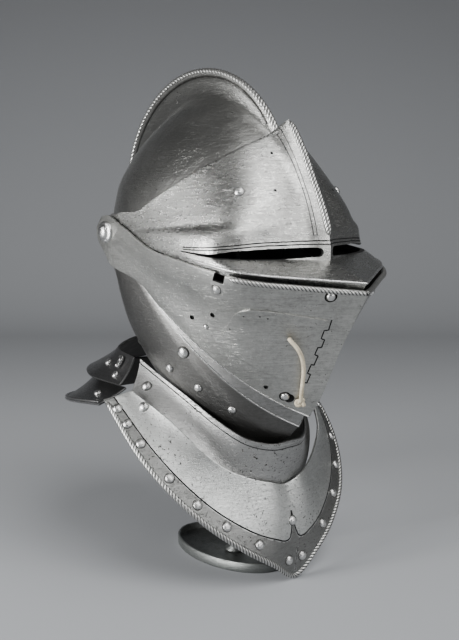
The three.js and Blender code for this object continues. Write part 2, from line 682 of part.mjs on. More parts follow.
// Stand: a low oval tray with a slim post, whose crossbar carries the skull from inside
function standBaseGeometry() {
  const { half, reach, floor, rim, rimWall } = STAND;
  const inside = reach - rimWall;
  const profile = [[0, 0], [reach, 0], [reach, rim], [inside, rim], [inside, floor], [0, floor]];
  const points = profile.map(([r, h]) => new THREE.Vector2(r, h));
  return new THREE.LatheGeometry(points, 32).rotateX(Math.PI / 2).scale(half / reach, 1, 1);
}
function standPostGeometry() {
  const { post, postY, floor } = STAND;
  const foot = floor + SEAT;
  const corner = new THREE.Vector3(CROSSBAR.half, postY - CROSSBAR.deep / 2, foot);
  const upward = new THREE.Raycaster(corner, new THREE.Vector3(0, 0, 1));
  const [roof] = upward.intersectObject(skull);
  const top = roof.point.z - SEAT;
  const middle = top - CROSSBAR.tall / 2;
  const rod = new THREE.CylinderGeometry(post, post, middle - foot, 16);
  rod.rotateX(Math.PI / 2).translate(0, postY, (foot + middle) / 2);
  const bar = new THREE.BoxGeometry(2 * CROSSBAR.half, CROSSBAR.deep, CROSSBAR.tall);
  bar.translate(0, postY, middle);
  return geometryOf(solid(rod).add(solid(bar)));
}
addMesh('stand_base', standBaseGeometry(), metal(STAND_STEEL, 0.5));
addMesh('stand_post', standPostGeometry(), metal(STAND_STEEL, 0.5));

export default helmet;
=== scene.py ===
"""Close helmet of plate armour on a low stand: plates, rivets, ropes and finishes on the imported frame."""
import json
import math
from collections import namedtuple

import bmesh
import bpy
from mathutils import Matrix, Vector


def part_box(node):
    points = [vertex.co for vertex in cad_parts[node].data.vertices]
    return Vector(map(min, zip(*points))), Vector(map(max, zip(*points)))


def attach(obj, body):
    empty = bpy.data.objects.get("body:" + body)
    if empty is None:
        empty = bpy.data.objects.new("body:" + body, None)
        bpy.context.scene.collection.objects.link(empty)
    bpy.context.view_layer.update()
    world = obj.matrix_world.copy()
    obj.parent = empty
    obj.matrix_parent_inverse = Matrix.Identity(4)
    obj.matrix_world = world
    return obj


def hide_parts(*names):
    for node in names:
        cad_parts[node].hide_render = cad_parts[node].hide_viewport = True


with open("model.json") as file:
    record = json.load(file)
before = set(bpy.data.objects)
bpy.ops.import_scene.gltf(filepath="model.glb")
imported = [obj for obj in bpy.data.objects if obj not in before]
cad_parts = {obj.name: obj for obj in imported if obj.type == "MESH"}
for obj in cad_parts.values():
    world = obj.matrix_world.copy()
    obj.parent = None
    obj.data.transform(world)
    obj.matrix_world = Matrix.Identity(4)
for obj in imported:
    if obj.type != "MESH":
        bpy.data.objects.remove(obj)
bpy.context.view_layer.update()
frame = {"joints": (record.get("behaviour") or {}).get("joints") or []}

# Sizes are in millimetres until a mesh is finished
MM = 0.001
WALL = 2.0
PIVOT = Vector(frame["joints"][0]["pos_m"]) / MM

# Face plates are fans about the side bolts. A section stands at an angle above the horizon and has
# its reach at the middle, the sweep of its sides, the squareness of its cheek and its crest.
Section = namedtuple("Section", "angle reach sweep full crest")
Fan = namedtuple("Fan", "half arm_angle arm_radius sections creases")
Sheet = namedtuple("Sheet", "place angles_at")
VISOR = Fan(93.2, 8, 10.5, [
    Section(-12, 197, 0.3, 16, 0),
    Section(-9.8, 200.5, 0.28, 16, 0),
    Section(-6.8, 160, 0.21, 18, 2),
    Section(-3, 157, 0.21, 16, 4),
    Section(5, 150, 0.13, 5.5, 6),
    Section(15, 143, 0.05, 2.9, 6),
    Section(27, 137, 0.06, 2.2, 9),
    Section(38, 132, 0.08, 2, 13.5),
], (-9.8, -6.8))
UPPER_BEVOR = Fan(96.8, -38, 14, [
    Section(-46.3, 203, 0.35, 3, 0),
    Section(-40, 200, 0.34, 3.6, 0),
    Section(-33, 195.5, 0.34, 4.6, 0),
    Section(-27, 194, 0.33, 6, 0),
    Section(-19, 197, 0.3, 10, 0),
    Section(-11.4, 204, 0.28, 16, 0),
], ())
BEVOR = Fan(89.6, -58, 15, [
    Section(-97, 121, 0.1, 2, 0),
    Section(-84, 172, 0.1, 2, 0),
    Section(-72, 197, 0.1, 2, 0),
    Section(-62, 205, 0.1, 2, 0),
    Section(-56, 205, 0.12, 2.1, 0),
    Section(-50.5, 203, 0.31, 3, 0),
    Section(-46, 197, 0.35, 3.2, 0),
    Section(-36, 186, 0.36, 4.2, 0),
    Section(-21, 181, 0.36, 4.6, 0),
], (-50.5,))
CREST_HALF = 16
CHIN_FOLD = -50.5
TURNS = (0, 2, 5, 9, 15, 23, 32, 41, 50, 58, 66, 74)
ARM_STEPS = (1.4, 0.6, -0.4, -0.9)
# Edges of two plates, as turn round the section and angle
VISOR_TOP = [(0, 38), (10, 36), (30, 33.5), (55, 31), (74, 28)]
BEVOR_NECK = [(0, -60.5), (20, -63.5), (32, -67.5), (42, -73), (50, -80), (58, -94), (90, -97)]

# Level sections of the skull: height, half width, front, back and squareness
SKULL_ROWS = [
    (187, 61, -66, 99, 2.1),
    (215, 67, -78, 100, 2.1),
    (250, 76, -88, 107, 2.2),
    (288, 83.5, -91, 113, 2.3),
    (321, 76, -84, 111, 2.3),
    (350, 60, -67, 100.5, 2.2),
    (375, 40, -40, 80, 2.1),
    (390, 26, -15, 57, 2),
    (397, 12, 5, 39, 2),
    (399, 2, 16, 28, 2),
]
SKULL_FOOT, SKULL_TOP = 187, 399
SKULL_HALF = 83.5
EAR_Y = 14
# Half width from which the middles of the skull's fans draw towards the ears
FAN_BEND = 42
# Edge of the face opening seen from the side, from brow to cheek
FACE_EDGE = [(-150, 306), (-30, 306), (5, 290), (14, 262), (16, 170)]
COMB_Y, COMB_Z, COMB_RADIUS = 38, 316.3, 110
# Turns about the comb's centre, from upright towards the back: its front end, its run-out and its end
COMB_FRONT, COMB_FADE, COMB_END = -68, 94, 124
COMB_RISE, COMB_ROOT = 6, 4
# Half section of the comb under its rope: half width and share of the way down to the dome
COMB_ROWS = [(0, 0.04), (1.7, 0.04), (2.2, 0.08), (2.5, 0.16), (4.2, 0.36), (7, 0.62), (11, 0.84), (17, 1)]

# Neck plates: points of the upper edge and the lower edge, and how far the middle draws in
NECK_LAME = [
    ((0, -75, 118), (0, -64.5, 72), 0),
    ((17, -72, 117), (17, -64, 77), 1),
    ((35, -59, 122), (34, -58, 83), 1.5),
    ((49, -38, 136), (52, -47, 96), 1.5),
    ((59, -13, 153), (66, -33, 113), 1.5),
    ((66.4, 14, 168), (79, -3, 139), 1.5),
    ((70.4, 37, 180), (88, 27, 154), 1.5),
]
GORGET_FRONT = [
    ((0, -69, 80), (0, -81, 1), -4),
    ((16, -69, 84), (25, -82, 17), -1.5),
    ((32, -64, 89), (52, -76, 35), 1.5),
    ((52, -54, 99), (79, -62, 58), 3),
    ((68, -43, 114), (99, -40, 84), 3.5),
    ((81, -18, 137), (110, -14, 110), 3),
    ((92, 20, 158), (113, 31, 152), 2),
]
REAR_LAME = [
    ((74, 41, 181), (93, 37, 160), 2),
    ((65, 77, 184), (89, 88, 161), 3),
    ((39, 92, 188), (56, 131, 161), 3),
    ((0, 100.9, 189), (0, 147, 158), 3),
]
GORGET_REAR = [
    ((85, 38, 157), (111, 41, 146), 2),
    ((81, 86, 156), (109, 90, 141), 3),
    ((51, 126, 155), (71, 147, 130), 3),
    ((0, 143, 157.5), (0, 180, 123), 3),
]
NECK_AXIS_Y = 30


# Tables and curves

def eased(rows, at, creases=()):
    """Row of a table at a place along its first column, smooth through the rows and bent at creases."""
    keys = [row[0] for row in rows]
    at = min(max(at, keys[0]), keys[-1])
    i = max(k for k in range(len(rows) - 1) if keys[k] <= at)

    def slope(k, column):
        return (rows[k + 1][column] - rows[k][column]) / (keys[k + 1] - keys[k])

    def tangent(k, column):
        if k == 0 or k == len(rows) - 1 or keys[k] in creases:
            return slope(i, column)
        before, after = slope(k - 1, column), slope(k, column)
        return 0 if before * after <= 0 else 2 * before * after / (before + after)

    span = keys[i + 1] - keys[i]
    t = (at - keys[i]) / span
    values = [at]
    for column in range(1, len(rows[0])):
        start, end = rows[i][column], rows[i + 1][column]
        leave, arrive = tangent(i, column) * span, tangent(i + 1, column) * span
        values.append(hermite(start, end, leave, arrive, t))
    return values


def hermite(start, end, leave, arrive, t):
    """Cubic between two values with given slopes."""
    ease = t * t * (3 - 2 * t)
    return start + (end - start) * ease + leave * t * (1 - t) ** 2 - arrive * t * t * (1 - t)


def even(start, end, steps):
    """Evenly spaced values from start to end, both included."""
    return [start + (end - start) * i / steps for i in range(steps + 1)]


def last_inside(low, high, inside, steps=30):
    """Last value from low towards high that passes a test, by halving."""
    for _ in range(steps):
        middle = (low + high) / 2
        low, high = (middle, high) if inside(middle) else (low, middle)
    return low


def linear(rows, at):
    """Second column of a table at a place along its first, by straight lines."""
    for (a, low), (b, high) in zip(rows, rows[1:]):
        if at <= b:
            return low + (high - low) * max(0, at - a) / (b - a)
    return rows[-1][1]


def curve_point(points, share):
    """Point of a smooth curve through points, by share along it."""
    span = (len(points) - 1) * min(max(share, 0), 1)
    i = min(int(span), len(points) - 2)
    b, c = points[i], points[i + 1]
    a = points[i - 1] if i > 0 else 2 * b - c
    d = points[i + 2] if i + 2 < len(points) else 2 * c - b
    step = max((c - b).length ** 0.5, 1e-4)
    before = max((b - a).length ** 0.5, 1e-4)
    after = max((d - c).length ** 0.5, 1e-4)
    leave = ((b - a) / before - (c - a) / (before + step) + (c - b) / step) * step
    arrive = ((c - b) / step - (d - b) / (step + after) + (d - c) / after) * step
    return hermite(b, c, leave, arrive, span - i)


def through(rows, steps=12):
    """Places along a smooth curve through rows of two values."""
    route = [Vector((a, b, 0)) for a, b in rows]
    return [curve_point(route, share) for share in even(0, 1, steps * (len(rows) - 1))]


# Surfaces of the plates

def face_point(fan, turn, angle):
    """Point of a face plate, by turn round the section from the middle and by angle of the section."""
    _, reach, sweep, full, crest = eased(fan.sections, angle, fan.creases)
    side, ahead = math.sin(math.radians(abs(turn))), math.cos(math.radians(turn))

    def inside(out):
        s = min(out * side, 1)
        return out * ahead < (1 - sweep * s) * math.sqrt(1 - s ** full)

    out = last_inside(0.0, 1.5, inside, 36)
    x = math.copysign(out * side * fan.half, turn)
    rho = reach * out * ahead + crest * max(0, 1 - (abs(x) / CREST_HALF) ** 1.3)
    tilt = math.radians(angle)
    return Vector((x, PIVOT.y - rho * math.cos(tilt), PIVOT.z + rho * math.sin(tilt)))


def arm_point(fan, step, across):
    """Point of a plate's left arm, by steps along it and across it from the pivot."""
    axis = math.radians(fan.arm_angle)
    y = -step * math.cos(axis) + across * math.sin(axis)
    z = step * math.sin(axis) + across * math.cos(axis)
    angle = math.degrees(math.atan2(z, -y))
    _, reach, sweep, full, _ = eased(fan.sections, angle, fan.creases)
    flat = (1 - min(1, math.hypot(y, z) / (reach * (1 - sweep))) ** 2) ** (1 / full)
    return Vector((fan.half * flat, PIVOT.y + y, PIVOT.z + z))


def face_surface(fan, angles_at):
    """Outer face of a fan plate by shares: from the right arm's end to the left's, and up from its foot."""
    known = {}

    def angle_of(angles, up):
        place = up * (len(angles) - 1)
        i = min(int(place), len(angles) - 2)
        return angles[i] + (angles[i + 1] - angles[i]) * (place - i)

    def half_row(up):
        points = [face_point(fan, turn, angle_of(angles_at(turn), up)) for turn in TURNS]
        angles = angles_at(TURNS[-1])
        share = 2 * (angle_of(angles, up) - angles[0]) / (angles[-1] - angles[0]) - 1
        for step in ARM_STEPS:
            wide = fan.arm_radius * (1 + 0.35 * step / ARM_STEPS[0])
            round_end = fan.arm_radius * math.sqrt(1 - min(0, step) ** 2)
            across = wide if step > 0 else round_end
            points.append(arm_point(fan, step * fan.arm_radius, share * across))
        return points

    def place(along, up):
        key = round(up, 6)
        if key not in known:
            known[key] = half_row(up)
        point = curve_point(known[key], abs(2 * along - 1))
        return Vector((math.copysign(point.x, along - 0.5), point.y, point.z))

    return place


def visor_angles(turn):
    """Angles of the visor's rows at a turn, from its lip to its top edge."""
    top = linear(VISOR_TOP, abs(turn))
    return [-12, -9.8, -6.8, -3, 5, 15, (15 + top) / 2, top]


def bevor_angles(turn):
    """Angles of the bevor's rows at a turn, from its neck edge over the chin fold to its top."""
    neck = linear(BEVOR_NECK, abs(turn))
    return [neck, neck + (CHIN_FOLD - neck) * 0.35, neck + (CHIN_FOLD - neck) * 0.7, CHIN_FOLD, -46, -36, -21]


def upper_bevor_angles(turn):
    """Angles of the upper bevor's rows, the same all round."""
    return [section.angle for section in UPPER_BEVOR.sections]


VISOR_SHEET = Sheet(face_surface(VISOR, visor_angles), visor_angles)
UPPER_SHEET = Sheet(face_surface(UPPER_BEVOR, upper_bevor_angles), upper_bevor_angles)
BEVOR_SHEET = Sheet(face_surface(BEVOR, bevor_angles), bevor_angles)


def neck_surface(rows, from_front):
    """Outer face of a neck plate by shares along it from one end and up from its rim."""
    def both_sides(half):
        inner = half[1:] if from_front else half[:-1]
        other = [Vector((-p.x, p.y, p.z)) for p in reversed(inner)]
        return other + half if from_front else half + other

    top = both_sides([Vector(row[0]) for row in rows])
    rim = both_sides([Vector(row[1]) for row in rows])
    sag = both_sides([Vector((0, 0, row[2])) for row in rows])

    def place(along, up):
        point = curve_point(rim, along).lerp(curve_point(top, along), up)
        inward = Vector((-point.x, NECK_AXIS_Y - point.y, 0)).normalized()
        return point + inward * curve_point(sag, along).z * 4 * up * (1 - up)

    return place


def fan_shares(angles_at, turn, angle):
    """Shares along and up a fan plate's surface at a turn and an angle."""
    size = abs(turn)
    i = max(k for k in range(len(TURNS) - 1) if TURNS[k] <= size)
    half = (i + (size - TURNS[i]) / (TURNS[i + 1] - TURNS[i])) / (len(TURNS) + len(ARM_STEPS) - 1)
    angles = angles_at(size)
    k = max(j for j in range(len(angles) - 1) if j == 0 or angles[j] <= angle)
    up = (k + (angle - angles[k]) / (angles[k + 1] - angles[k])) / (len(angles) - 1)
    return 0.5 + math.copysign(half / 2, turn), up


def seat(place, a, b, step=1e-3):
    """Point and outward normal of a surface at two shares."""
    right = place(a + step, b) - place(a - step, b)
    upward = place(a, b + step) - place(a, b - step)
    return place(a, b), right.cross(upward).normalized()


def face_spot(sheet, turn, angle):
    """Point of a face plate at a turn and an angle."""
    return sheet.place(*fan_shares(sheet.angles_at, turn, angle))


def face_seat(sheet, turn, angle):
    """Point and outward normal of a face plate at a turn and an angle."""
    return seat(sheet.place, *fan_shares(sheet.angles_at, turn, angle))


# Skull, whose sections fan out from a line at the side bolts' height under the comb

SKULL_LEVELS = [eased(SKULL_ROWS, z / 2) for z in range(2 * SKULL_FOOT, 2 * SKULL_TOP + 1)]


def dome_excess(x, y, z):
    """Above zero outside the skull's dome, below zero inside it."""
    row = SKULL_LEVELS[min(max(int(2 * (z - SKULL_FOOT)), 0), len(SKULL_LEVELS) - 1)]
    _, half, front, back, full = row
    if z > SKULL_TOP:
        return 1.0
    middle, depth = (front + back) / 2, (back - front) / 2
    return (abs(x) / half) ** full + (abs(y - middle) / depth) ** full - 1


def fan_y(x):
    """Place of the fan's line: under the comb, and nearer the ears at the sides."""
    share = min(max((abs(x) - FAN_BEND) / (SKULL_HALF - FAN_BEND), 0), 1)
    return COMB_Y + (EAR_Y - COMB_Y) * share * share * (3 - 2 * share)


def dome_reach(x, turn):
    """Distance from the fan's line to the dome, along a turn from upright towards the back."""
    c, s = math.cos(turn), math.sin(turn)
    line = fan_y(x)
    return last_inside(0.0, 160.0, lambda reach: dome_excess(x, line + reach * s, PIVOT.z + reach * c) <= 0)


def middle_reach(turn):
    """Distance from the comb's centre to the dome in the middle plane, along a turn in degrees."""
    c, s = math.cos(math.radians(turn)), math.sin(math.radians(turn))
    return last_inside(0.0, 130.0, lambda reach: dome_excess(0, COMB_Y + reach * s, COMB_Z + reach * c) <= 0)


MIDDLE_REACH = [(turn, middle_reach(turn)) for turn in range(-90, 133, 2)]


def comb_edge(turn):
    """Radius of the comb's edge and of the dome below it, at a turn in degrees about its centre."""
    low = linear(MIDDLE_REACH, turn)
    behind = (turn - COMB_FADE) / (COMB_END - COMB_FADE)
    past = max(0, behind, (COMB_FRONT + COMB_RISE - turn) / (2 * COMB_RISE))
    return max(low - 2, COMB_RADIUS + (low - COMB_RADIUS) * past ** 2), low


def in_comb(x, y, z):
    """True inside the comb's section."""
    turn = math.degrees(math.atan2(y - COMB_Y, z - COMB_Z))
    if not MIDDLE_REACH[0][0] < turn < MIDDLE_REACH[-1][0]:
        return False
    edge, low = comb_edge(turn)
    spread = min(1, 0.3 + max(0, edge - low) / 30)
    half = abs(x) / spread
    if half > COMB_ROWS[-1][0]:
        return False
    share = eased(COMB_ROWS, half)[1]
    return math.hypot(y - COMB_Y, z - COMB_Z) < edge + (low - COMB_ROOT - edge) * share


def comb_reach(x, turn):
    """Distance from the fan's line to the comb's flank at a half width, along a turn."""
    if abs(x) > COMB_ROWS[-1][0]:
        return 0.0
    c, s = math.cos(turn), math.sin(turn)
    return last_inside(40.0, 150.0, lambda reach: in_comb(x, COMB_Y + reach * s, PIVOT.z + reach * c), 26)


def skull_point(x, turn):
    """Point of the skull with the comb blended into its dome."""
    dome, comb = dome_reach(x, turn), comb_reach(x, turn)
    blend = 5.0
    near = max(blend - abs(dome - comb), 0) / blend
    rho = max(dome, comb) + near * near * blend / 4
    return Vector((x, fan_y(x) + rho * math.sin(turn), PIVOT.z + rho * math.cos(turn)))


def in_face(point):
    """True in front of the edge of the face opening."""
    if point.z > FACE_EDGE[0][1]:
        return False
    edge = sorted((z, y) for y, z in FACE_EDGE[1:])
    return point.y < linear(edge, point.z)


def skull_ends(x):
    """Turns at which the skull ends at a half width: at the face opening and at its foot."""
    def last_kept(start, far, foot):
        def kept(turn):
            point = skull_point(x, turn)
            return point.z > foot and not in_face(point)

        return last_inside(start, far, kept, 24)

    front = last_kept(0.0, math.radians(-100), -math.inf)
    return front, last_kept(math.radians(90), math.radians(255), SKULL_FOOT)


# Finishes

class Finish:
    """Material under making: its shader and the nodes that feed it."""

    def __init__(self, name, metallic, colour):
        self.material = bpy.data.materials.new(name)
        self.material.use_nodes = True
        self.material.diffuse_color = (*colour, 1)
        self.nodes = self.material.node_tree.nodes
        self.links = self.material.node_tree.links
        self.shader = self.nodes["Principled BSDF"]
        self.drive("Metallic", metallic)

    def feed(self, socket, value):
        """Number, colour or another node's output into a socket."""
        if isinstance(value, bpy.types.NodeSocket):
            self.links.new(value, socket)
        elif isinstance(value, (int, float)):
            socket.default_value = value
        else:
            socket.default_value = (*value, 1)

    def drive(self, name, value):
        """Value for one input of the shader."""
        self.feed(self.shader.inputs[name], value)

    def place(self, scale=(1, 1, 1), turn=(0, 0, 0)):
        """Object coordinates in metres, turned and then stretched."""
        mapping = self.nodes.new("ShaderNodeMapping")
        mapping.inputs["Rotation"].default_value = [math.radians(angle) for angle in turn]
        mapping.inputs["Scale"].default_value = scale
        self.feed(mapping.inputs["Vector"], self.nodes.new("ShaderNodeTexCoord").outputs["Object"])
        return mapping.outputs["Vector"]

    def noise(self, vector, scale, detail=4.0, roughness=0.55):
        """Soft cloudy pattern from 0 to 1."""
        texture = self.nodes.new("ShaderNodeTexNoise")
        for name, value in (("Scale", scale), ("Detail", detail), ("Roughness", roughness), ("Vector", vector)):
            self.feed(texture.inputs[name], value)
        return texture.outputs["Fac"]

    def band(self, value, low, high, to_low=0.0, to_high=1.0):
        """Value stretched between two limits and held there."""
        node = self.nodes.new("ShaderNodeMapRange")
        names = ("Value", "From Min", "From Max", "To Min", "To Max")
        for name, given in zip(names, (value, low, high, to_low, to_high)):
            self.feed(node.inputs[name], given)
        return node.outputs["Result"]

    def combine(self, operation, a, b):
        """Two values joined by arithmetic and held between 0 and 1; either may be a plain number."""
        node = self.nodes.new("ShaderNodeMath")
        node.operation = operation
        node.use_clamp = True
        self.feed(node.inputs[0], a)
        self.feed(node.inputs[1], b)
        return node.outputs["Value"]

    def plus(self, a, b):
        """Sum of two values."""
        return self.combine("ADD", a, b)

    def times(self, a, b):
        """Product of two values."""
        return self.combine("MULTIPLY", a, b)

    def mix(self, share, below, above):
        """Colour between two by a share; each is a colour or another node's output."""
        node = self.nodes.new("ShaderNodeMix")
        node.data_type = "RGBA"
        for name, value in (("A", below), ("B", above), ("Factor", share)):
            self.feed(node.inputs[name], value)
        return node.outputs["Result"]

    def attribute(self, name):
        """Value painted on a piece's points; nought where it has none."""
        node = self.nodes.new("ShaderNodeAttribute")
        node.attribute_name = name
        return node.outputs["Fac"]

    def bump(self, height, strength, distance):
        """Relief from a height, with its depth in metres."""
        node = self.nodes.new("ShaderNodeBump")
        for name, value in (("Strength", strength), ("Distance", distance), ("Height", height)):
            self.feed(node.inputs[name], value)
        self.drive("Normal", node.outputs["Normal"])


# Dark colour for scratches, pits and border bands, and for painted shade below the bevor's fold and in scored
# grooves
DIRT_AND_SHADE = (0.045, 0.043, 0.04)


def plate_steel(name, bright, dark, roughness, pitting, turn):
    """Satin steel: brushed streaks, mottled tone, fine scratches and dark pits in patches."""
    steel = Finish(name, 1.0, bright)
    streak_place = steel.place((1, 1, 9), turn)
    scratch_place = steel.place((1.6, 1, 16), [angle + 12 for angle in turn])
    even_place = steel.place()
    streaks = steel.band(steel.noise(streak_place, 74, 8, 0.78), 0.34, 0.66)
    mottle = steel.band(steel.noise(even_place, 330, 6, 0.75), 0.34, 0.66)
    clouds = steel.band(steel.noise(even_place, 24, 5, 0.6), 0.32, 0.68)
    scratches = steel.band(steel.noise(scratch_place, 95, 5, 0.8), 0.58, 0.66)
    patchy = steel.band(steel.noise(even_place, 19, 4, 0.6), 0.4, 0.6)
    more = 0.09 * pitting
    spots = steel.band(steel.noise(even_place, 460, 3, 0.6), 0.7 - more, 0.75 - more)
    pits = steel.times(spots, patchy)
    fine = steel.plus(steel.times(streaks, 0.42), steel.times(mottle, 0.3))
    tone = steel.plus(fine, steel.times(clouds, 0.28))
    metal = steel.mix(tone, dark, bright)
    metal = steel.mix(steel.times(scratches, 0.62), metal, DIRT_AND_SHADE)
    # Darker border bands on the gorget and lame are the steel's own; on the bevor this paints shade below the
    # fold
    metal = steel.mix(steel.times(steel.attribute("border_and_shade"), 0.68), metal, DIRT_AND_SHADE)
    metal = steel.mix(steel.times(steel.attribute("worn"), streaks), metal, bright)
    # Pits are dirt; the comb's scored line is painted shade in its groove
    metal = steel.mix(steel.combine("MAXIMUM", pits, steel.attribute("scored")), metal, DIRT_AND_SHADE)
    steel.drive("Base Color", metal)
    rough = steel.band(fine, 0, 0.72, roughness + 0.1, roughness - 0.07)
    steel.drive("Roughness", steel.plus(rough, steel.times(pits, 0.35)))
    sunk = steel.plus(steel.times(scratches, 0.35), pits)
    steel.bump(steel.combine("SUBTRACT", steel.plus(fine, 0.25), sunk), 0.5, 0.0005)
    return steel.material


def grooved_steel(name, bright, dark, roughness):
    """Roped steel whose hollows are painted dark as shade, by the rope's own depth attribute, with a fine
    speckle of dirt.
    """
    steel = Finish(name, 1.0, bright)
    speckle = steel.noise(steel.place(), 500, 3)
    shade_and_dirt = steel.plus(steel.attribute("hollow"), steel.band(speckle, 0.5, 0.8, 0, 0.3))
    steel.drive("Base Color", steel.mix(shade_and_dirt, bright, dark))
    steel.drive("Roughness", steel.band(shade_and_dirt, 0, 1, roughness, 0.8))
    return steel.material


def grimy_iron(name, colour, roughness):
    """Dark iron inside plates and in cuts; in the cuts its near-black colour is painted shade."""
    iron = Finish(name, 0.6, colour)
    dirt = iron.noise(iron.place(), 90, 5)
    iron.drive("Base Color", iron.mix(dirt, [c * 0.5 for c in colour], colour))
    iron.drive("Roughness", iron.band(dirt, 0.3, 0.7, roughness - 0.1, roughness + 0.1))
    return iron.material


def pale_leather(name):
    """Cream tawed leather with a fine grain, darker where it was handled."""
    leather = Finish(name, 0.0, (0.62, 0.55, 0.42))
    place = leather.place()
    grain = leather.noise(place, 900, 5, 0.6)
    handled = leather.noise(place, 120, 3)
    tone = leather.plus(leather.band(handled, 0.35, 0.7, 0, 0.6), leather.band(grain, 0.3, 0.7, 0, 0.4))
    leather.drive("Base Color", leather.mix(tone, (0.66, 0.6, 0.46), (0.34, 0.28, 0.19)))
    leather.drive("Roughness", 0.75)
    leather.bump(grain, 0.5, 0.0003)
    return leather.material


BRIGHT, DULL = (0.67, 0.67, 0.65), (0.22, 0.22, 0.21)
SKULL_STEEL = plate_steel("skull_steel", (0.61, 0.61, 0.59), (0.19, 0.19, 0.18), 0.31, 0.4, (25, 0, 0))
VISOR_STEEL = plate_steel("visor_steel", BRIGHT, DULL, 0.27, 0.35, (50, 0, 25))
UPPER_STEEL = plate_steel("upper_bevor_steel", (0.61, 0.61, 0.585), (0.2, 0.2, 0.19), 0.31, 0.4, (0, 12, 0))
# Painted shade: the bevor's steel is darker than the upper bevor's because the plate faces down
BEVOR_STEEL = plate_steel("bevor_steel", (0.4, 0.4, 0.39), (0.15, 0.15, 0.145), 0.38, 0.3, (0, 12, 0))
GORGET_STEEL = plate_steel("gorget_steel", (0.72, 0.73, 0.715), (0.36, 0.37, 0.36), 0.37, 1.1, (20, 60, 0))
LAME_STEEL = plate_steel("neck_lame_steel", (0.56, 0.56, 0.55), (0.24, 0.24, 0.235), 0.35, 1.0, (0, 12, 0))
REAR_STEEL = plate_steel("rear_steel", (0.25, 0.25, 0.25), (0.1, 0.1, 0.1), 0.34, 0.3, (0, 90, 0))
RIVET_STEEL = plate_steel("rivet_steel", (0.7, 0.7, 0.69), (0.52, 0.52, 0.51), 0.27, 0.0, (0, 0, 0))
ROPE_STEEL = grooved_steel("rope_steel", (0.52, 0.52, 0.505), (0.012, 0.012, 0.012), 0.32)
INSIDE_IRON = grimy_iron("inside_iron", (0.05, 0.048, 0.045), 0.7)
# Painted shade: near-black walls of holes, slots, seats and scored grooves
CUT_IRON = grimy_iron("cut_iron", (0.02, 0.02, 0.02), 0.85)
THONG_LEATHER = pale_leather("thong_leather")


# Making pieces

def finished(name, bm, body, slot, *materials, node=None):
    """Object from a mesh in millimetres, riding on a body and standing for its solid."""
    bmesh.ops.scale(bm, vec=(MM, MM, MM), verts=bm.verts)
    mesh = bpy.data.meshes.new(name)
    for face in bm.faces:
        face.smooth = True
    bm.to_mesh(mesh)
    bm.free()
    for material in materials:
        mesh.materials.append(material)
    piece = bpy.data.objects.new(f"{name}_piece" if node else name, mesh)
    bpy.context.scene.collection.objects.link(piece)
    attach(piece, body)
    if node:
        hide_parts(node)
    return piece


def grid_mesh(place, columns, rows):
    """Grid laid on a surface, its rows running upward."""
    bm = bmesh.new()
    bm.loops.layers.uv.new("UVMap")
    bmesh.ops.create_grid(bm, x_segments=columns, y_segments=rows, size=1, calc_uvs=True)
    for vert in bm.verts:
        vert.co = place((vert.co.x + 1) / 2, (vert.co.y + 1) / 2)
    bmesh.ops.remove_doubles(bm, verts=bm.verts, dist=0.01)
    return bm


def paint(bm, name, value):
    """Value on a sheet's points by their shares along and up it."""
    layer = bm.verts.layers.float.new(name)
    uv = bm.loops.layers.uv.active
    for loop in (loop for face in bm.faces for loop in face.loops):
        loop.vert[layer] = value(*loop[uv].uv)


def settle(piece):
    """Applies a piece's modifiers to its mesh."""
    bpy.context.view_layer.update()
    graph = bpy.context.evaluated_depsgraph_get()
    mesh = bpy.data.meshes.new_from_object(piece.evaluated_get(graph))
    piece.modifiers.clear()
    old = piece.data
    piece.data = mesh
    bpy.data.meshes.remove(old)


def thicken(piece, cutters=(), wall=WALL, edge=0.45):
    """Gives a sheet its wall, cuts it and rounds its edges."""
    solid = piece.modifiers.new("wall", "SOLIDIFY")
    solid.thickness = wall * MM
    solid.offset = -1
    solid.material_offset = 1
    soft = piece.modifiers.new("edges", "BEVEL")
    soft.width = edge * MM
    soft.segments = 2
    soft.limit_method = "ANGLE"
    soft.angle_limit = math.radians(50)
    if cutters:
        tools = bpy.data.collections.new(piece.name + "_cuts")
        for cutter in cutters:
            tools.objects.link(cutter)
        cut = piece.modifiers.new("cuts", "BOOLEAN")
        cut.operation = "DIFFERENCE"
        cut.operand_type = "COLLECTION"
        cut.collection = tools
        cut.solver = "EXACT"
        cut.use_self = True
        cut.material_mode = "TRANSFER"
    settle(piece)
    piece.data.set_sharp_from_angle(angle=math.radians(40))
    for cutter in cutters:
        bpy.data.meshes.remove(cutter.data)
    return piece


def cutter(bm):
    """Cutting tool from a closed mesh in millimetres, faced with near-black iron that paints shade on the walls
    it cuts.
    """
    bm.normal_update()
    bmesh.ops.recalc_face_normals(bm, faces=bm.faces)
    bmesh.ops.scale(bm, vec=(MM, MM, MM), verts=bm.verts)
    mesh = bpy.data.meshes.new("cutter")
    bm.to_mesh(mesh)
    bm.free()
    mesh.materials.append(CUT_IRON)
    return bpy.data.objects.new("cutter", mesh)


def upright(normal):
    """Turn that stands +Z along a normal."""
    return Vector((0, 0, 1)).rotation_difference(normal).to_matrix().to_4x4()


def stand(bm, point, normal, scale=1):
    """Scales a mesh and stands it on a point along a normal."""
    matrix = Matrix.Translation(point) @ upright(normal) @ Matrix.Scale(scale, 4)
    bmesh.ops.transform(bm, matrix=matrix, verts=bm.verts)


def merge(bm, other):
    """Adds another mesh to a mesh and frees it."""
    mesh = bpy.data.meshes.new("merged")
    other.to_mesh(mesh)
    other.free()
    bm.from_mesh(mesh)
    bpy.data.meshes.remove(mesh)


def soften(bm, edges, width, segments):
    """Rounds some edges of a mesh."""
    bmesh.ops.bevel(bm, geom=edges, offset=width, offset_type="OFFSET", segments=segments, profile=0.5,
                    affect="EDGES", material=-1)


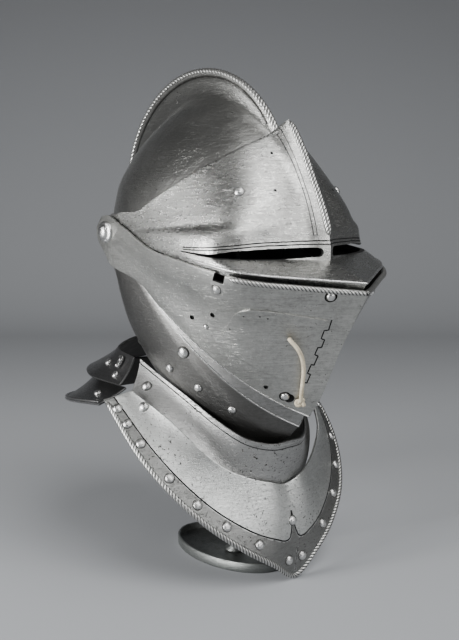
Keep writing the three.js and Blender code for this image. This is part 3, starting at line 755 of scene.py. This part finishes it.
def shift_new(bm, geom, offset):
    """Moves the points of newly extruded geometry."""
    verts = [item for item in geom if isinstance(item, bmesh.types.BMVert)]
    bmesh.ops.translate(bm, vec=offset, verts=verts)


def drill(point, normal, radius, depth=8):
    """Round cutter through a plate."""
    bm = bmesh.new()
    bmesh.ops.create_cone(bm, cap_ends=True, segments=20, radius1=radius, radius2=radius, depth=depth,
                          matrix=Matrix.Translation(point) @ upright(normal))
    return cutter(bm)


def frames(points, across=None):
    """Side and over directions at each point of a path; the side follows a given direction, if any."""
    rows = []
    for i, point in enumerate(points):
        ahead = (points[min(i + 1, len(points) - 1)] - points[max(i - 1, 0)]).normalized()
        over = ahead.cross(across) if across else ahead.cross(Vector((0, 0, 1))).cross(ahead)
        over.normalize()
        rows.append((point, over.cross(ahead), over))
    return rows


def tube_mesh(points, sides, radius, across=None):
    """Closed tube along points, its radius by place along and turn round it."""
    rows = frames(points, across)
    bm = bmesh.new()
    bmesh.ops.create_grid(bm, x_segments=sides, y_segments=len(points) - 1, size=1)
    for vert in bm.verts:
        i = round((vert.co.y + 1) / 2 * (len(points) - 1))
        turn = vert.co.x * math.pi
        point, side, over = rows[i]
        vert.co = point + (side * math.cos(turn) + over * math.sin(turn)) * radius(i, turn)
    bmesh.ops.remove_doubles(bm, verts=bm.verts, dist=0.001)
    bmesh.ops.holes_fill(bm, edges=[edge for edge in bm.edges if edge.is_boundary], sides=0)
    bm.normal_update()
    bmesh.ops.recalc_face_normals(bm, faces=bm.faces)
    return bm


def groove(points, radius=0.55):
    """Cutter for a scored line along a surface."""
    return cutter(tube_mesh(points, 6, lambda i, turn: radius))


def rope(name, points, radius, body, across=None, lay=13.0, strands=4):
    """Roped edge: strands wound round a path, thinning to its ends."""
    run = [0.0]
    for a, b in zip(points, points[1:]):
        run.append(run[-1] + (b - a).length)

    def ridge(i, turn):
        return abs(math.sin(strands / 2 * (turn - 2 * math.pi * run[i] / lay))) ** 0.9

    def whole(i):
        end = min(1, min(run[i], run[-1] - run[i]) / (3 * radius))
        return radius * math.sqrt(max(end * (2 - end), 0.04))

    def section(i, turn):
        return whole(i) * (0.76 + 0.24 * ridge(i, turn))

    bm = tube_mesh(points, 20, section, across)
    # The hollow attribute marks where shade is painted between the strands
    hollow = bm.verts.layers.float.new("hollow")
    for vert in bm.verts:
        i = min(range(len(points)), key=lambda k: (points[k] - vert.co).length_squared)
        vert[hollow] = 1 - min(1, ((points[i] - vert.co).length / whole(i) - 0.8) / 0.17)
    return finished(name, bm, body, "plate_steel", ROPE_STEEL)


# Profiles of a rivet and of the dark ring round its foot, partly dirt and partly painted shade: radius and
# height, as shares of its radius
RIVET_DOME = [(1.0, -0.35), (1.0, 0.1), (0.96, 0.24), (0.86, 0.39), (0.7, 0.51), (0.48, 0.6), (0.24, 0.65),
              (0, 0.66)]
RIVET_SHADE = [(0.98, 0.05), (1.1, 0.02), (1.1, -0.35)]


def turned(profile, steps=24):
    """Profile of (radius, height) spun round the upright axis."""
    bm = bmesh.new()
    verts = [bm.verts.new((r, 0, h)) for r, h in profile]
    edges = [bm.edges.new(pair) for pair in zip(verts, verts[1:])]
    bmesh.ops.spin(bm, geom=verts + edges, axis=(0, 0, 1), cent=(0, 0, 0), dvec=(0, 0, 0),
                   angle=2 * math.pi, steps=steps, use_merge=True)
    bmesh.ops.remove_doubles(bm, verts=bm.verts, dist=1e-4)
    bm.normal_update()
    bmesh.ops.recalc_face_normals(bm, faces=bm.faces)
    return bm


def rivet(name, point, normal, radius, body, is_node=True):
    """Domed rivet with a dark ring round its foot, partly dirt and partly painted shade."""
    bm = turned(RIVET_DOME)
    shade = turned(RIVET_SHADE)
    # The ring takes the dark inside iron: dirt and painted shade round the rivet's foot
    for face in shade.faces:
        face.material_index = 1
    merge(bm, shade)
    stand(bm, point, normal, radius)
    node = name if is_node else None
    return finished(name, bm, body, "rivet_steel", RIVET_STEEL, INSIDE_IRON, node=node)


# Camera at the photograph's viewing angle

lens = bpy.data.cameras.new("camera")
lens.lens = 52.5
lens.sensor_width = 36
camera = bpy.data.objects.new("camera", lens)
camera.location = Vector((-537.68, -596.00, 326.76)) * MM
aim = Vector((0, 1.16, 209.96)) * MM
camera.rotation_euler = (aim - camera.location).to_track_quat("-Z", "Y").to_euler()
bpy.context.scene.collection.objects.link(camera)
bpy.context.scene.camera = camera


# Thong and its knot

THONG_RADIUS = 1.6
KNOT_CORD, KNOT_LIFT, KNOT_PLACE = 1.5, 3.4, (-7.4, -42.6)
# Turn, angle and height over the upper bevor
THONG_ROWS = [(-23, -26.5, 2.7), (-22.2, -26.6, 5.2), (-19.5, -27.6, 7), (-15.8, -29.9, 7.4), (-13, -33, 7),
              (-11.3, -36.4, 6.2), (-9.4, -39.8, 5.4), (-7.8, -42, 4.4), (-7, -43, 1)]


def above_upper_bevor(turn, angle, lift):
    """Point over the upper bevor by its height along the plate's normal."""
    point, normal = face_seat(UPPER_SHEET, turn, angle)
    return point + normal * lift


def leather_run(name, points, radius):
    """Leather cord along points, as one curve."""
    curve = bpy.data.curves.new(name, "CURVE")
    curve.dimensions = "3D"
    curve.bevel_depth = radius * MM
    curve.bevel_resolution = 4
    curve.use_fill_caps = True
    spline = curve.splines.new("POLY")
    spline.points.add(len(points) - 1)
    for target, point in zip(spline.points, points):
        target.co = (*(point * MM), 1)
    piece = bpy.data.objects.new(name, curve)
    bpy.context.scene.collection.objects.link(piece)
    curve.materials.append(THONG_LEATHER)
    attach(piece, "upper_bevor")
    return piece


thong_route = [above_upper_bevor(*row) for row in THONG_ROWS]
thong_points = [curve_point(thong_route, share) for share in even(0, 1, 36)]
thong = leather_run("thong_run", thong_points, THONG_RADIUS)
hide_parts("thong")
thong_length = sum((b - a).length for a, b in zip(thong_points, thong_points[1:]))


def knot():
    """Overhand knot: a cord wound in a trefoil, flattened against the plate."""
    points = []
    for t in even(0, 2 * math.pi, 60):
        x, y = math.sin(t) + 2 * math.sin(2 * t), math.cos(t) - 2 * math.cos(2 * t)
        points.append(Vector((1.15 * x, 1.15 * y, -1.2 * math.sin(3 * t))))
    bm = tube_mesh(points, 10, lambda i, turn: KNOT_CORD)
    middle, normal = face_seat(UPPER_SHEET, *KNOT_PLACE)
    stand(bm, middle + normal * KNOT_LIFT, normal)
    return finished("thong_knot", bm, "upper_bevor", "thong_leather", THONG_LEATHER)


thong_knot = knot()


# Plates

def face_line(sheet, rows):
    """Points along a line on a face plate through (turn, angle) rows."""
    return [face_spot(sheet, spot.x, spot.y) for spot in through(rows)]


def place_line(place, rows):
    """Points along a line on a surface through rows of shares."""
    return [place(min(max(spot.x, 0.001), 0.999), spot.y) for spot in through(rows)]


def mirrored(rows):
    """Rows that start with a turn, each on both sides."""
    return [(side * turn, *rest) for turn, *rest in rows for side in (-1, 1)]


# One sight: half width from the middle, angle of its middle and half its height in degrees
SIGHT = [(5, -4.6, 1.3), (40, -5.3, 1.6), (72, -5.8, 1.3), (91, -7.4, 0.25)]
# Half width at a sight's middle, half the length of its straight part and the length of its round ends
SIGHT_MIDDLE, SIGHT_RUN, SIGHT_END = 48, 39, 4


def sight_cut(side):
    """Cutter for one sight: a wedge that narrows to its outer end, rounded at its inner one."""
    bm = bmesh.new()
    bmesh.ops.create_cube(bm, size=2)
    spans = [(edge, edge.verts[0].co, edge.verts[1].co) for edge in bm.edges]
    soften(bm, [edge for edge, a, b in spans if a.x == b.x and a.z == b.z], 0.9, 5)
    spans = [(edge, edge.verts[0].co, edge.verts[1].co) for edge in bm.edges]
    long_edges = [edge for edge, a, b in spans if abs(a.x - b.x) > 0.15 and abs(a.x + b.x) < 0.01]
    bmesh.ops.subdivide_edges(bm, edges=long_edges, cuts=11, use_grid_fill=True)
    for vert in bm.verts:
        # The cube's ends are rounded before it is drawn out, so the rounding keeps to the ends
        straight = min(abs(vert.co.x), 0.1) / 0.1
        end = max(0, abs(vert.co.x) - 0.1) / 0.9
        x = SIGHT_MIDDLE + math.copysign(SIGHT_RUN * straight + SIGHT_END * end, vert.co.x)
        _, middle, half = eased(SIGHT, x)
        angle = math.radians(middle + half * vert.co.z)
        rho = 140 + 50 * vert.co.y
        vert.co = Vector((side * x, PIVOT.y - rho * math.cos(angle), PIVOT.z + rho * math.sin(angle)))
    return cutter(bm)


# Holes: turn, angle and radius
VISOR_HOLES = mirrored([(12.8, 28.3, 1.2), (20.2, 14.4, 1.2)])
UPPER_BEVOR_HOLES = mirrored([(55.7, -35.8, 2.1), (50.5, -28.9, 2.1), (22.6, -43.4, 1.9)])
# Scored lines: turn and angle
SIGHT_LINE = [(0, -2.4), (20, -2.7), (37, -3.2), (50, -4.7), (59, -6.3)]
BOTH_SIGHTS = [(-turn, angle) for turn, angle in SIGHT_LINE[:0:-1]] + SIGHT_LINE
SIGHT_LINES = [[(turn, angle + rise) for turn, angle in BOTH_SIGHTS] for rise in (0, 0.95)]
RIDGE_ROWS = ([(4.6, 36.5), (4.8, 24), (5, 12), (5.2, 0)], [(6.6, 35), (6.4, 24), (6.6, 12), (6.8, 0)])
RIDGE_LINES = [[(side * turn, angle) for turn, angle in row] for side in (-1, 1) for row in RIDGE_ROWS]
# Sunk seats of the studs, the lower ones oval, their walls painted near black as shade: turn, angle and radius
STUD_SEATS = mirrored([(14.6, -13.4, 4.9), (13.8, -43.4, 4.9), (12, -43.4, 4.4)])
SEAT_DEPTH = 2.4
# Notch in the top edge: turns of its sides and angles of its open top and its foot
NOTCH_TURNS, NOTCH_ANGLES = (52.2, 55), (-9.6, -14.3)
# Toothed slot beside the prow: turn and angle of its corners
SLOT_TEETH = [(9.4, -19.4), (8.6, -22.3), (10.3, -22.6), (9.8, -25), (8.2, -25.1), (8, -27.3), (9.4, -27.6),
              (9.5, -29.7), (8, -29.8), (8.1, -32.5), (9.2, -32.5), (9.4, -35.1), (8, -35.1), (8.2, -37.6),
              (9.3, -37.6)]
SLOT_STEPS = 4


def holes(sheet, rows, depth=8):
    """Drills into a face plate."""
    return [drill(*face_seat(sheet, turn, angle), radius, depth) for turn, angle, radius in rows]


def notch_cut(side):
    """Cutter for the notch on one side: a block across the plate."""
    bm = bmesh.new()
    bmesh.ops.create_cube(bm, size=1)
    for vert in bm.verts:
        turn = NOTCH_TURNS[vert.co.x > 0]
        angle = NOTCH_ANGLES[vert.co.z < 0]
        vert.co = above_upper_bevor(side * turn, angle, 10 * vert.co.y)
    return cutter(bm)


def toothed_slot(side):
    """Cutter for the toothed slot on one side of the prow."""
    corners = [Vector((side * turn, angle)) for turn, angle in SLOT_TEETH]
    spots = [a.lerp(b, i / SLOT_STEPS) for a, b in zip(corners, corners[1:]) for i in range(SLOT_STEPS)]
    return groove([face_spot(UPPER_SHEET, spot.x, spot.y) for spot in spots], 0.62)


def plate(name, bm, body, steel, *work, slot="plate_steel", node=True):
    """Plate from its outer face: finished, thickened and cut."""
    piece = finished(name, bm, body, slot, steel, INSIDE_IRON, node=name if node else None)
    return thicken(piece, *work)


def make_visor():
    """Visor: brow plate with sights, holes and scored lines."""
    cuts = [sight_cut(-1), sight_cut(1), *holes(VISOR_SHEET, VISOR_HOLES)]
    cuts += [groove(face_line(VISOR_SHEET, line)) for line in SIGHT_LINES]
    cuts += [groove(face_line(VISOR_SHEET, line), 0.35) for line in RIDGE_LINES]
    plate("visor", grid_mesh(VISOR_SHEET.place, 180, 70), "visor", VISOR_STEEL, cuts)


def make_upper_bevor():
    """Upper bevor: prow plate with breaths, slots, notches and sunk seats for its studs."""
    cuts = holes(UPPER_SHEET, UPPER_BEVOR_HOLES) + holes(UPPER_SHEET, STUD_SEATS, SEAT_DEPTH)
    for side in (-1, 1):
        cuts += [toothed_slot(side), notch_cut(side)]
    plate("upper_bevor", grid_mesh(UPPER_SHEET.place, 180, 60), "upper_bevor", UPPER_STEEL, cuts)


# Half widths of the skull's columns, close together at the comb's flank and at the sides
SKULL_COLUMNS = [0, 0.9, 1.8, 2.1, 2.4, 2.6, 3.1, 3.6, 4.2, 5, 6.2, 8, 10, 12.5, 15.5, 19, 23, 27.5, 32, 37, 42,
                 47, 52, 56.5, 60.5, 64.5, 68, 71, 73.7, 76, 78, 79.7, 81.1, 82.2, 82.9, 83.35, 83.5]
# Half width and depth of the line scored along the comb
COMB_LINE, COMB_LINE_DEPTH = 3.1, 0.55
skull_spans = {}


def on_comb(point):
    """True where the comb stands well clear of the dome."""
    turn = math.degrees(math.atan2(point.y - COMB_Y, point.z - COMB_Z))
    edge, low = comb_edge(turn) if -90 < turn < 130 else (0, 0)
    return edge - low > 8 and math.hypot(point.y - COMB_Y, point.z - COMB_Z) > low + 4


def skull_surface(along, up):
    """Skull's outer face by shares: from right to left, and from the brow over the top to the nape's foot."""
    place = abs(2 * along - 1) * (len(SKULL_COLUMNS) - 1)
    i = min(int(place + 1e-6), len(SKULL_COLUMNS) - 2)
    x = SKULL_COLUMNS[i] + (SKULL_COLUMNS[i + 1] - SKULL_COLUMNS[i]) * (place - i)
    key = round(x, 4)
    if key not in skull_spans:
        skull_spans[key] = skull_ends(x)
    front, foot = skull_spans[key]
    point = skull_point(x, front + (foot - front) * up)
    return Vector((math.copysign(point.x, along - 0.5), point.y, point.z))


def make_skull():
    """Skull with its comb, cut away for the face."""
    bm = grid_mesh(skull_surface, 2 * (len(SKULL_COLUMNS) - 1), 130)
    scored = bm.verts.layers.float.new("scored")
    for vert in bm.verts:
        # Painted shade: the scored line along the comb is pushed in and darkened in its groove
        if abs(abs(vert.co.x) - COMB_LINE) < 0.01 and on_comb(vert.co):
            vert.co.x -= math.copysign(COMB_LINE_DEPTH, vert.co.x)
            vert[scored] = 1
    plate("skull", bm, "skull", SKULL_STEEL, (), 1.4)


def make_bevor():
    """Bevor: chin plate with its fold and neck, given painted shade below the fold where it faces down, and
    worn along its foot.
    """
    bm = grid_mesh(BEVOR_SHEET.place, 180, 60)
    # Painted shade: the plate below the chin fold is darkened because it faces down
    paint(bm, "border_and_shade", lambda along, up: 1 if up < 0.49 else 0)
    paint(bm, "worn", lambda along, up: max(0, 1 - abs(up - 0.03) / 0.05))
    plate("bevor", bm, "bevor", BEVOR_STEEL)


front_place = neck_surface(GORGET_FRONT, True)
lame_place = neck_surface(NECK_LAME, True)
rear_place = neck_surface(GORGET_REAR, False)
rear_lame_place = neck_surface(REAR_LAME, False)
# Border of the front plate and the line down its tip, by shares
BORDER_HALF = [(0.0, 0.3), (0.2, 0.3), (0.36, 0.31), (0.44, 0.36), (0.475, 0.42), (0.49, 0.52)]
BORDER_LINE = [*BORDER_HALF, (0.5, 0.72), *[(1 - along, up) for along, up in reversed(BORDER_HALF)]]
TIP_LINE = [(0.5, 0.08), (0.504, 0.2), (0.512, 0.32)]
# Height of the neck lame's collar, by share
LAME_COLLAR = 0.87


def make_gorget_front():
    """Front neck plate with its dark scored border."""
    bm = grid_mesh(front_place, 240, 40)
    paint(bm, "border_and_shade", lambda along, up: 1 if up < linear(BORDER_LINE, along) else 0)
    cuts = [groove(place_line(front_place, BORDER_LINE), 0.7), groove(place_line(front_place, TIP_LINE), 0.5)]
    plate("gorget_front", bm, "bevor", GORGET_STEEL, cuts)


def make_neck_lame():
    """Neck lame with its scored collar."""
    bm = grid_mesh(lame_place, 200, 40)
    paint(bm, "border_and_shade", lambda along, up: 0.7 if up > LAME_COLLAR else 0)
    paint(bm, "worn", lambda along, up: 0.8 if up > LAME_COLLAR else 0)
    collar = place_line(lame_place, [(i / 8, LAME_COLLAR) for i in range(9)])
    plate("neck_lame", bm, "bevor", LAME_STEEL, [groove(collar, 0.5)])


def round_neck(points, bearing):
    """Point of a path at a bearing in degrees about the neck's axis, from the front."""
    rows = sorted((math.degrees(math.atan2(p.x, NECK_AXIS_Y - p.y)), p) for p in points)
    for (a, low), (b, high) in zip(rows, rows[1:]):
        if bearing <= b:
            return low.lerp(high, max(0, bearing - a) / max(b - a, 1e-6))
    return rows[-1][1]


FLARE_BEARING, FLARE_SAG = 66, 6
bevor_foot = [face_spot(BEVOR_SHEET, turn, bevor_angles(turn)[0] + 0.6) for turn in range(-60, 61, 2)]
lame_seats = [seat(lame_place, share, 0.955) for share in even(0.04, 0.96, 80)]
lame_inside = [point - normal * 2.3 for point, normal in lame_seats]


def flare_place(along, up):
    """Outer face of the bevor's flared foot by shares, from the neck lame up to the bevor."""
    bearing = FLARE_BEARING * (2 * along - 1)
    point = round_neck(lame_inside, bearing).lerp(round_neck(bevor_foot, bearing), up)
    return point - Vector((0, 0, FLARE_SAG * up * (1 - up)))


def make_flare():
    """Flared foot of the bevor, bright with wear."""
    bm = grid_mesh(flare_place, 120, 10)
    paint(bm, "worn", lambda along, up: 0.8)
    plate("bevor_flare", bm, "bevor", BEVOR_STEEL, (), 1.2, 0.3, node=False)


make_visor()
make_upper_bevor()
make_bevor()
make_skull()
make_gorget_front()
make_flare()
make_neck_lame()
for name, place in (("gorget_rear", rear_place), ("rear_lame", rear_lame_place)):
    plate(name, grid_mesh(place, 160, 40), "skull", REAR_STEEL, slot="dark_steel")


# Roped edges

COMB_ROPE = 2.8


def comb_rope_point(turn):
    """Middle of the comb's roped edge at a turn in degrees about its centre."""
    edge, _ = comb_edge(turn)
    reach = edge - COMB_ROPE
    angle = math.radians(turn)
    return Vector((0, COMB_Y + reach * math.sin(angle), COMB_Z + reach * math.cos(angle)))


def roll(name, points, radius, body, slot="plate_steel", steel=RIVET_STEEL):
    """Plain rolled edge along a path, thinning to its ends."""
    def section(i, turn):
        end = min(i, len(points) - 1 - i) / 6
        return radius * min(1, 0.3 + 0.7 * end)

    return finished(name, tube_mesh(points, 10, section), body, slot, steel)


def prow_point(turn):
    """Middle of the upper bevor's roped edge, sunk into the plate at the prow."""
    return above_upper_bevor(turn, -12, -0.3 - 1.2 * max(0, 1 - abs(turn) / 10))


def rim_point(along):
    """Middle of the roped rim of the front plate."""
    _, normal = seat(front_place, along, 0.02)
    upward = (front_place(along, 0.1) - front_place(along, 0)).normalized()
    return front_place(along, 0) + upward * 2 - normal * 0.9


def inner_rim_point(along):
    """Middle of the roll just inside the rim of the rear plate."""
    point = rear_place(along, 0.015)
    inward = Vector((-point.x, NECK_AXIS_Y - point.y, 0)).normalized()
    return point + inward * 1.3 + Vector((0, 0, 1))


SIDEWAYS = Vector((1, 0, 0))
comb_line = [comb_rope_point(turn) for turn in even(COMB_FRONT + COMB_RISE, COMB_END - 2, 460)]
ridge_line = [face_spot(VISOR_SHEET, 0, angle) for angle in even(37.2, 0, 200)]
rope("comb_rope", comb_line, COMB_ROPE, "skull", SIDEWAYS, 16)
rope("visor_ridge_rope", ridge_line, 2.8, "visor", SIDEWAYS, 12)
rope("upper_bevor_rope", [prow_point(turn) for turn in even(-51.6, 51.6, 460)], 2.2, "upper_bevor", lay=12)
# Rolled edges on the face plates: half turn, steps, angle and radius
FACE_ROLLS = [("visor_lip", VISOR_SHEET, "visor", 66, 200, -9.8, 0.9),
              ("bevor_fold", BEVOR_SHEET, "bevor", 58, 240, CHIN_FOLD, 0.6),
              ("upper_bevor_foot", UPPER_SHEET, "upper_bevor", 66, 200, -46.2, 0.7)]
for name, sheet, body, half, steps, angle, radius in FACE_ROLLS:
    roll(name, [face_spot(sheet, turn, angle) for turn in even(-half, half, steps)], radius, body)
inner_rim = [inner_rim_point(share) for share in even(0.01, 0.99, 240)]
roll("gorget_rear_roll", inner_rim, 1.5, "skull", "dark_steel", REAR_STEEL)
rope("gorget_rope", [rim_point(share) for share in even(0.004, 0.996, 900)], 2.4, "bevor")


# Rivets, studs and bolts

SIDES = (("right", -1), ("left", 1))
FACE_RIVETS = [
    ("visor_rivet", VISOR_SHEET, "visor", 34.7, 16, 4),
    ("bevor_hinge_rivet", BEVOR_SHEET, "bevor", 54, -54.6, 4.8),
    ("bevor_lining_rivet_a", BEVOR_SHEET, "bevor", 52, -67, 3.6),
    ("bevor_lining_rivet_b", BEVOR_SHEET, "bevor", 43, -60, 3.6),
    ("bevor_lining_rivet_c", BEVOR_SHEET, "bevor", 30, -56, 3.6),
    ("upper_bevor_stud_top", UPPER_SHEET, "upper_bevor", 14.6, -13.4, 3.4),
    ("upper_bevor_stud_low", UPPER_SHEET, "upper_bevor", 13.8, -43.4, 3.4),
]
BORDER_SHARES = [0.055, 0.26, 0.43, 0.57, 0.71, 0.86, 0.92, 0.965]
NECK_RIVETS = [("gorget_strap_rivet", front_place, 0.93, 0.82), ("neck_lame_rivet", lame_place, 0.93, 0.42)]
REAR_RIVETS = [("rear_lame_rivet_low", rear_lame_place, 0.9, 0.25),
               ("rear_lame_rivet_high", rear_lame_place, 0.72, 0.5),
               ("gorget_rear_rivet", rear_place, 0.84, 0.45)]
# Heads that are in the scene only: turn, angle and radius
SHOWN_RIVETS = [("notch_stud", 53, -17.2, 3.8), ("flush_rivet", 50.8, -35.5, 2.2)]
NECK_HEAD, REAR_HEAD, BORDER_HEIGHT = 4, 3.4, 0.19
# Profile of a side bolt: radius and height
BOLT_HEAD = [(9, -0.4), (9, 0.6), (8.3, 1.6), (6.6, 1.9), (6.1, 2.1), (5.6, 3.4), (4.4, 4.6), (2.6, 5.3),
             (0, 5.5)]
for side_name, sign in SIDES:
    for name, sheet, body, turn, angle, radius in FACE_RIVETS:
        rivet(f"{name}_{side_name}", *face_seat(sheet, sign * turn, angle), radius, body)
    for number, share in enumerate(BORDER_SHARES, 1):
        spot = seat(front_place, 0.5 + sign * share / 2, BORDER_HEIGHT)
        rivet(f"border_rivet_{number}_{side_name}", *spot, NECK_HEAD, "bevor")
    for name, place, share, height in NECK_RIVETS:
        rivet(f"{name}_{side_name}", *seat(place, 0.5 + sign * share / 2, height), NECK_HEAD, "bevor")
    for name, place, share, height in REAR_RIVETS:
        rivet(f"{name}_{side_name}", *seat(place, 0.5 - sign * share / 2, height), REAR_HEAD, "skull")
    bolt = turned(BOLT_HEAD, 40)
    stand(bolt, Vector((sign * (UPPER_BEVOR.half + 0.35), PIVOT.y, PIVOT.z)), sign * SIDEWAYS)
    bolt_name = f"pivot_bolt_{side_name}"
    finished(bolt_name, bolt, "skull", "rivet_steel", RIVET_STEEL, node=bolt_name)
rivet("border_rivet_point", *seat(front_place, 0.5, 0.62), NECK_HEAD, "bevor")
for side_name, sign in SIDES:
    for name, turn, angle, radius in SHOWN_RIVETS:
        spot = face_seat(UPPER_SHEET, sign * turn, angle)
        rivet(f"{name}_{side_name}", *spot, radius, "upper_bevor", is_node=False)


# Breath door, neck catch and stand

# Breath door: turn, and angles of its foot and its top
DOOR_ROWS = [(-45, -34.5, -24), (-43.5, -37, -21.7), (-41, -38.5, -20.3), (-32, -39.2, -19.6),
             (-23, -39.2, -19.6), (-15, -38.8, -19.6), (-11.2, -38.4, -19.6)]
DOOR_LIFT = 0.9
PINHOLES = [(-42.3, -23.5, 0.7), (-37.6, -21.9, 0.7), (-34.6, -22, 0.7), (-43.8, -30.4, 0.7)]


def door_place(along, up):
    """Outer face of the breath door by shares."""
    row = curve_point([Vector(row) for row in DOOR_ROWS], along)
    return above_upper_bevor(row.x, row.y + (row.z - row.y) * up, DOOR_LIFT)


pinholes = holes(UPPER_SHEET, PINHOLES)
plate("vent_door", grid_mesh(door_place, 72, 28), "upper_bevor", UPPER_STEEL, pinholes, 1.1, 0.25)
CATCH_OUTLINE = [(-5, -2), (4, -2), (6.5, 0), (6.5, 4.5), (4.5, 4.5), (4, 1.5), (-5, 2)]
CATCH_PINS = (-3.4, 2.2)
CATCH_HEIGHT = 2.5


def make_catch():
    """Flat hook on the rear lame with its two pins."""
    bm = bmesh.new()
    face = bm.faces.new([bm.verts.new((x, y, 0)) for x, y in CATCH_OUTLINE])
    shift_new(bm, bmesh.ops.extrude_face_region(bm, geom=[face])["geom"], (0, 0, CATCH_HEIGHT))
    bmesh.ops.recalc_face_normals(bm, faces=bm.faces)
    soften(bm, bm.edges[:], 0.45, 2)
    for x in CATCH_PINS:
        bmesh.ops.create_uvsphere(bm, u_segments=14, v_segments=8, radius=1.1,
                                  matrix=Matrix.Translation((x, 0, CATCH_HEIGHT - 0.1)))
    point, normal = seat(rear_lame_place, 0.94, 0.6)
    stand(bm, point + normal * 1.1, normal)
    return finished("neck_catch", bm, "skull", "plate_steel", RIVET_STEEL, node="neck_catch")


make_catch()
STAND_METAL = plate_steel("stand_metal", (0.3, 0.31, 0.3), (0.15, 0.16, 0.155), 0.46, 0.0, (0, 0, 0))
# Profile of the stand's tray, which is then drawn in to an oval
TRAY = [(0, 0), (59, 0), (60, 1), (60, 8), (59, 9), (57.6, 9), (57, 8.2), (56.6, 4), (55.6, 3), (0, 3)]
TRAY_HALF = 36
BAR_HEIGHT = 8


def make_stand():
    """Low oval tray and the post with its crossbar inside the helmet."""
    tray = turned(TRAY, 96)
    bmesh.ops.scale(tray, vec=(TRAY_HALF / TRAY[2][0], 1, 1), verts=tray.verts)
    finished("stand_base", tray, "skull", "stand_metal", STAND_METAL, node="stand_base")
    low, high = (corner / MM for corner in map(Vector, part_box("stand_post")))
    bm = bmesh.new()
    bar = bmesh.ops.create_cube(bm, size=1)["verts"]
    bmesh.ops.scale(bm, vec=(high.x - low.x, high.y - low.y, BAR_HEIGHT), verts=bar)
    middle = (low + high) / 2
    bmesh.ops.translate(bm, vec=(middle.x, middle.y, high.z - BAR_HEIGHT / 2), verts=bar)
    soften(bm, bm.edges[:], 1.2, 3)
    foot, top = low.z, high.z - 6
    post = turned([(0, foot), (9, foot), (9, foot + 2), (5, foot + 4), (4, foot + 8), (4, top), (0, top)], 32)
    bmesh.ops.translate(post, vec=(0, middle.y, 0), verts=post.verts)
    merge(bm, post)
    finished("stand_post", bm, "skull", "stand_metal", STAND_METAL, node="stand_post")


make_stand()


# Backdrop and light

def backdrop():
    """Pale sweep: floor that curves up into a wall, darker up the wall by painted shade."""
    bm = bmesh.new()
    angles = [math.radians(9 * k) for k in range(1, 11)]
    bend = [(1.2 + 0.6 * math.sin(a), 0.6 - 0.6 * math.cos(a)) for a in angles]
    route = [(-2.2, 0), (1.2, 0), *bend, (1.8, 3)]
    verts = [bm.verts.new((-3, y, z)) for y, z in route]
    edges = [bm.edges.new(pair) for pair in zip(verts, verts[1:])]
    shift_new(bm, bmesh.ops.extrude_edge_only(bm, edges=edges)["geom"], (6, 0, 0))
    bmesh.ops.recalc_face_normals(bm, faces=bm.faces)
    bmesh.ops.rotate(bm, cent=(0, 0, 0), matrix=Matrix.Rotation(math.radians(-42), 3, "Z"), verts=bm.verts)
    mesh = bpy.data.meshes.new("backdrop")
    for face in bm.faces:
        face.smooth = True
    bm.to_mesh(mesh)
    bm.free()
    paper = Finish("backdrop_paper", 0.0, (0.4, 0.4, 0.4))
    height = paper.nodes.new("ShaderNodeSeparateXYZ")
    paper.feed(height.inputs["Vector"], paper.place())
    # Painted shade: the paper darkens with height, as the light falls off up the wall
    share = paper.band(height.outputs["Z"], 0, 0.85)
    paper.drive("Base Color", paper.mix(share, (0.33, 0.34, 0.355), (0.165, 0.17, 0.178)))
    paper.drive("Roughness", 0.9)
    mesh.materials.append(paper.material)
    sheet = bpy.data.objects.new("backdrop", mesh)
    bpy.context.scene.collection.objects.link(sheet)


def softbox(name, place, target, size, power):
    """Large soft light aimed at a point, in metres."""
    light = bpy.data.lights.new(name, "AREA")
    light.shape = "RECTANGLE"
    light.size, light.size_y = size
    light.energy = power
    lamp = bpy.data.objects.new(name, light)
    lamp.location = place
    lamp.rotation_euler = (Vector(target) - Vector(place)).to_track_quat("-Z", "Y").to_euler()
    bpy.context.scene.collection.objects.link(lamp)


backdrop()
softbox("top_light", (-0.1, -0.8, 1.45), (0, 0, 0.2), (1.0, 0.8), 18)
softbox("left_light", (-1.4, 0.2, 0.38), (0, 0, 0.27), (0.55, 0.9), 45)
softbox("front_light", (0.3, -1.4, 0.7), (0, 0, 0.25), (0.6, 0.9), 11)
world = bpy.data.worlds.new("studio")
world.use_nodes = True
world.node_tree.nodes["Background"].inputs["Color"].default_value = (0.3, 0.3, 0.3, 1)
world.node_tree.nodes["Background"].inputs["Strength"].default_value = 0.25
bpy.context.scene.world = world
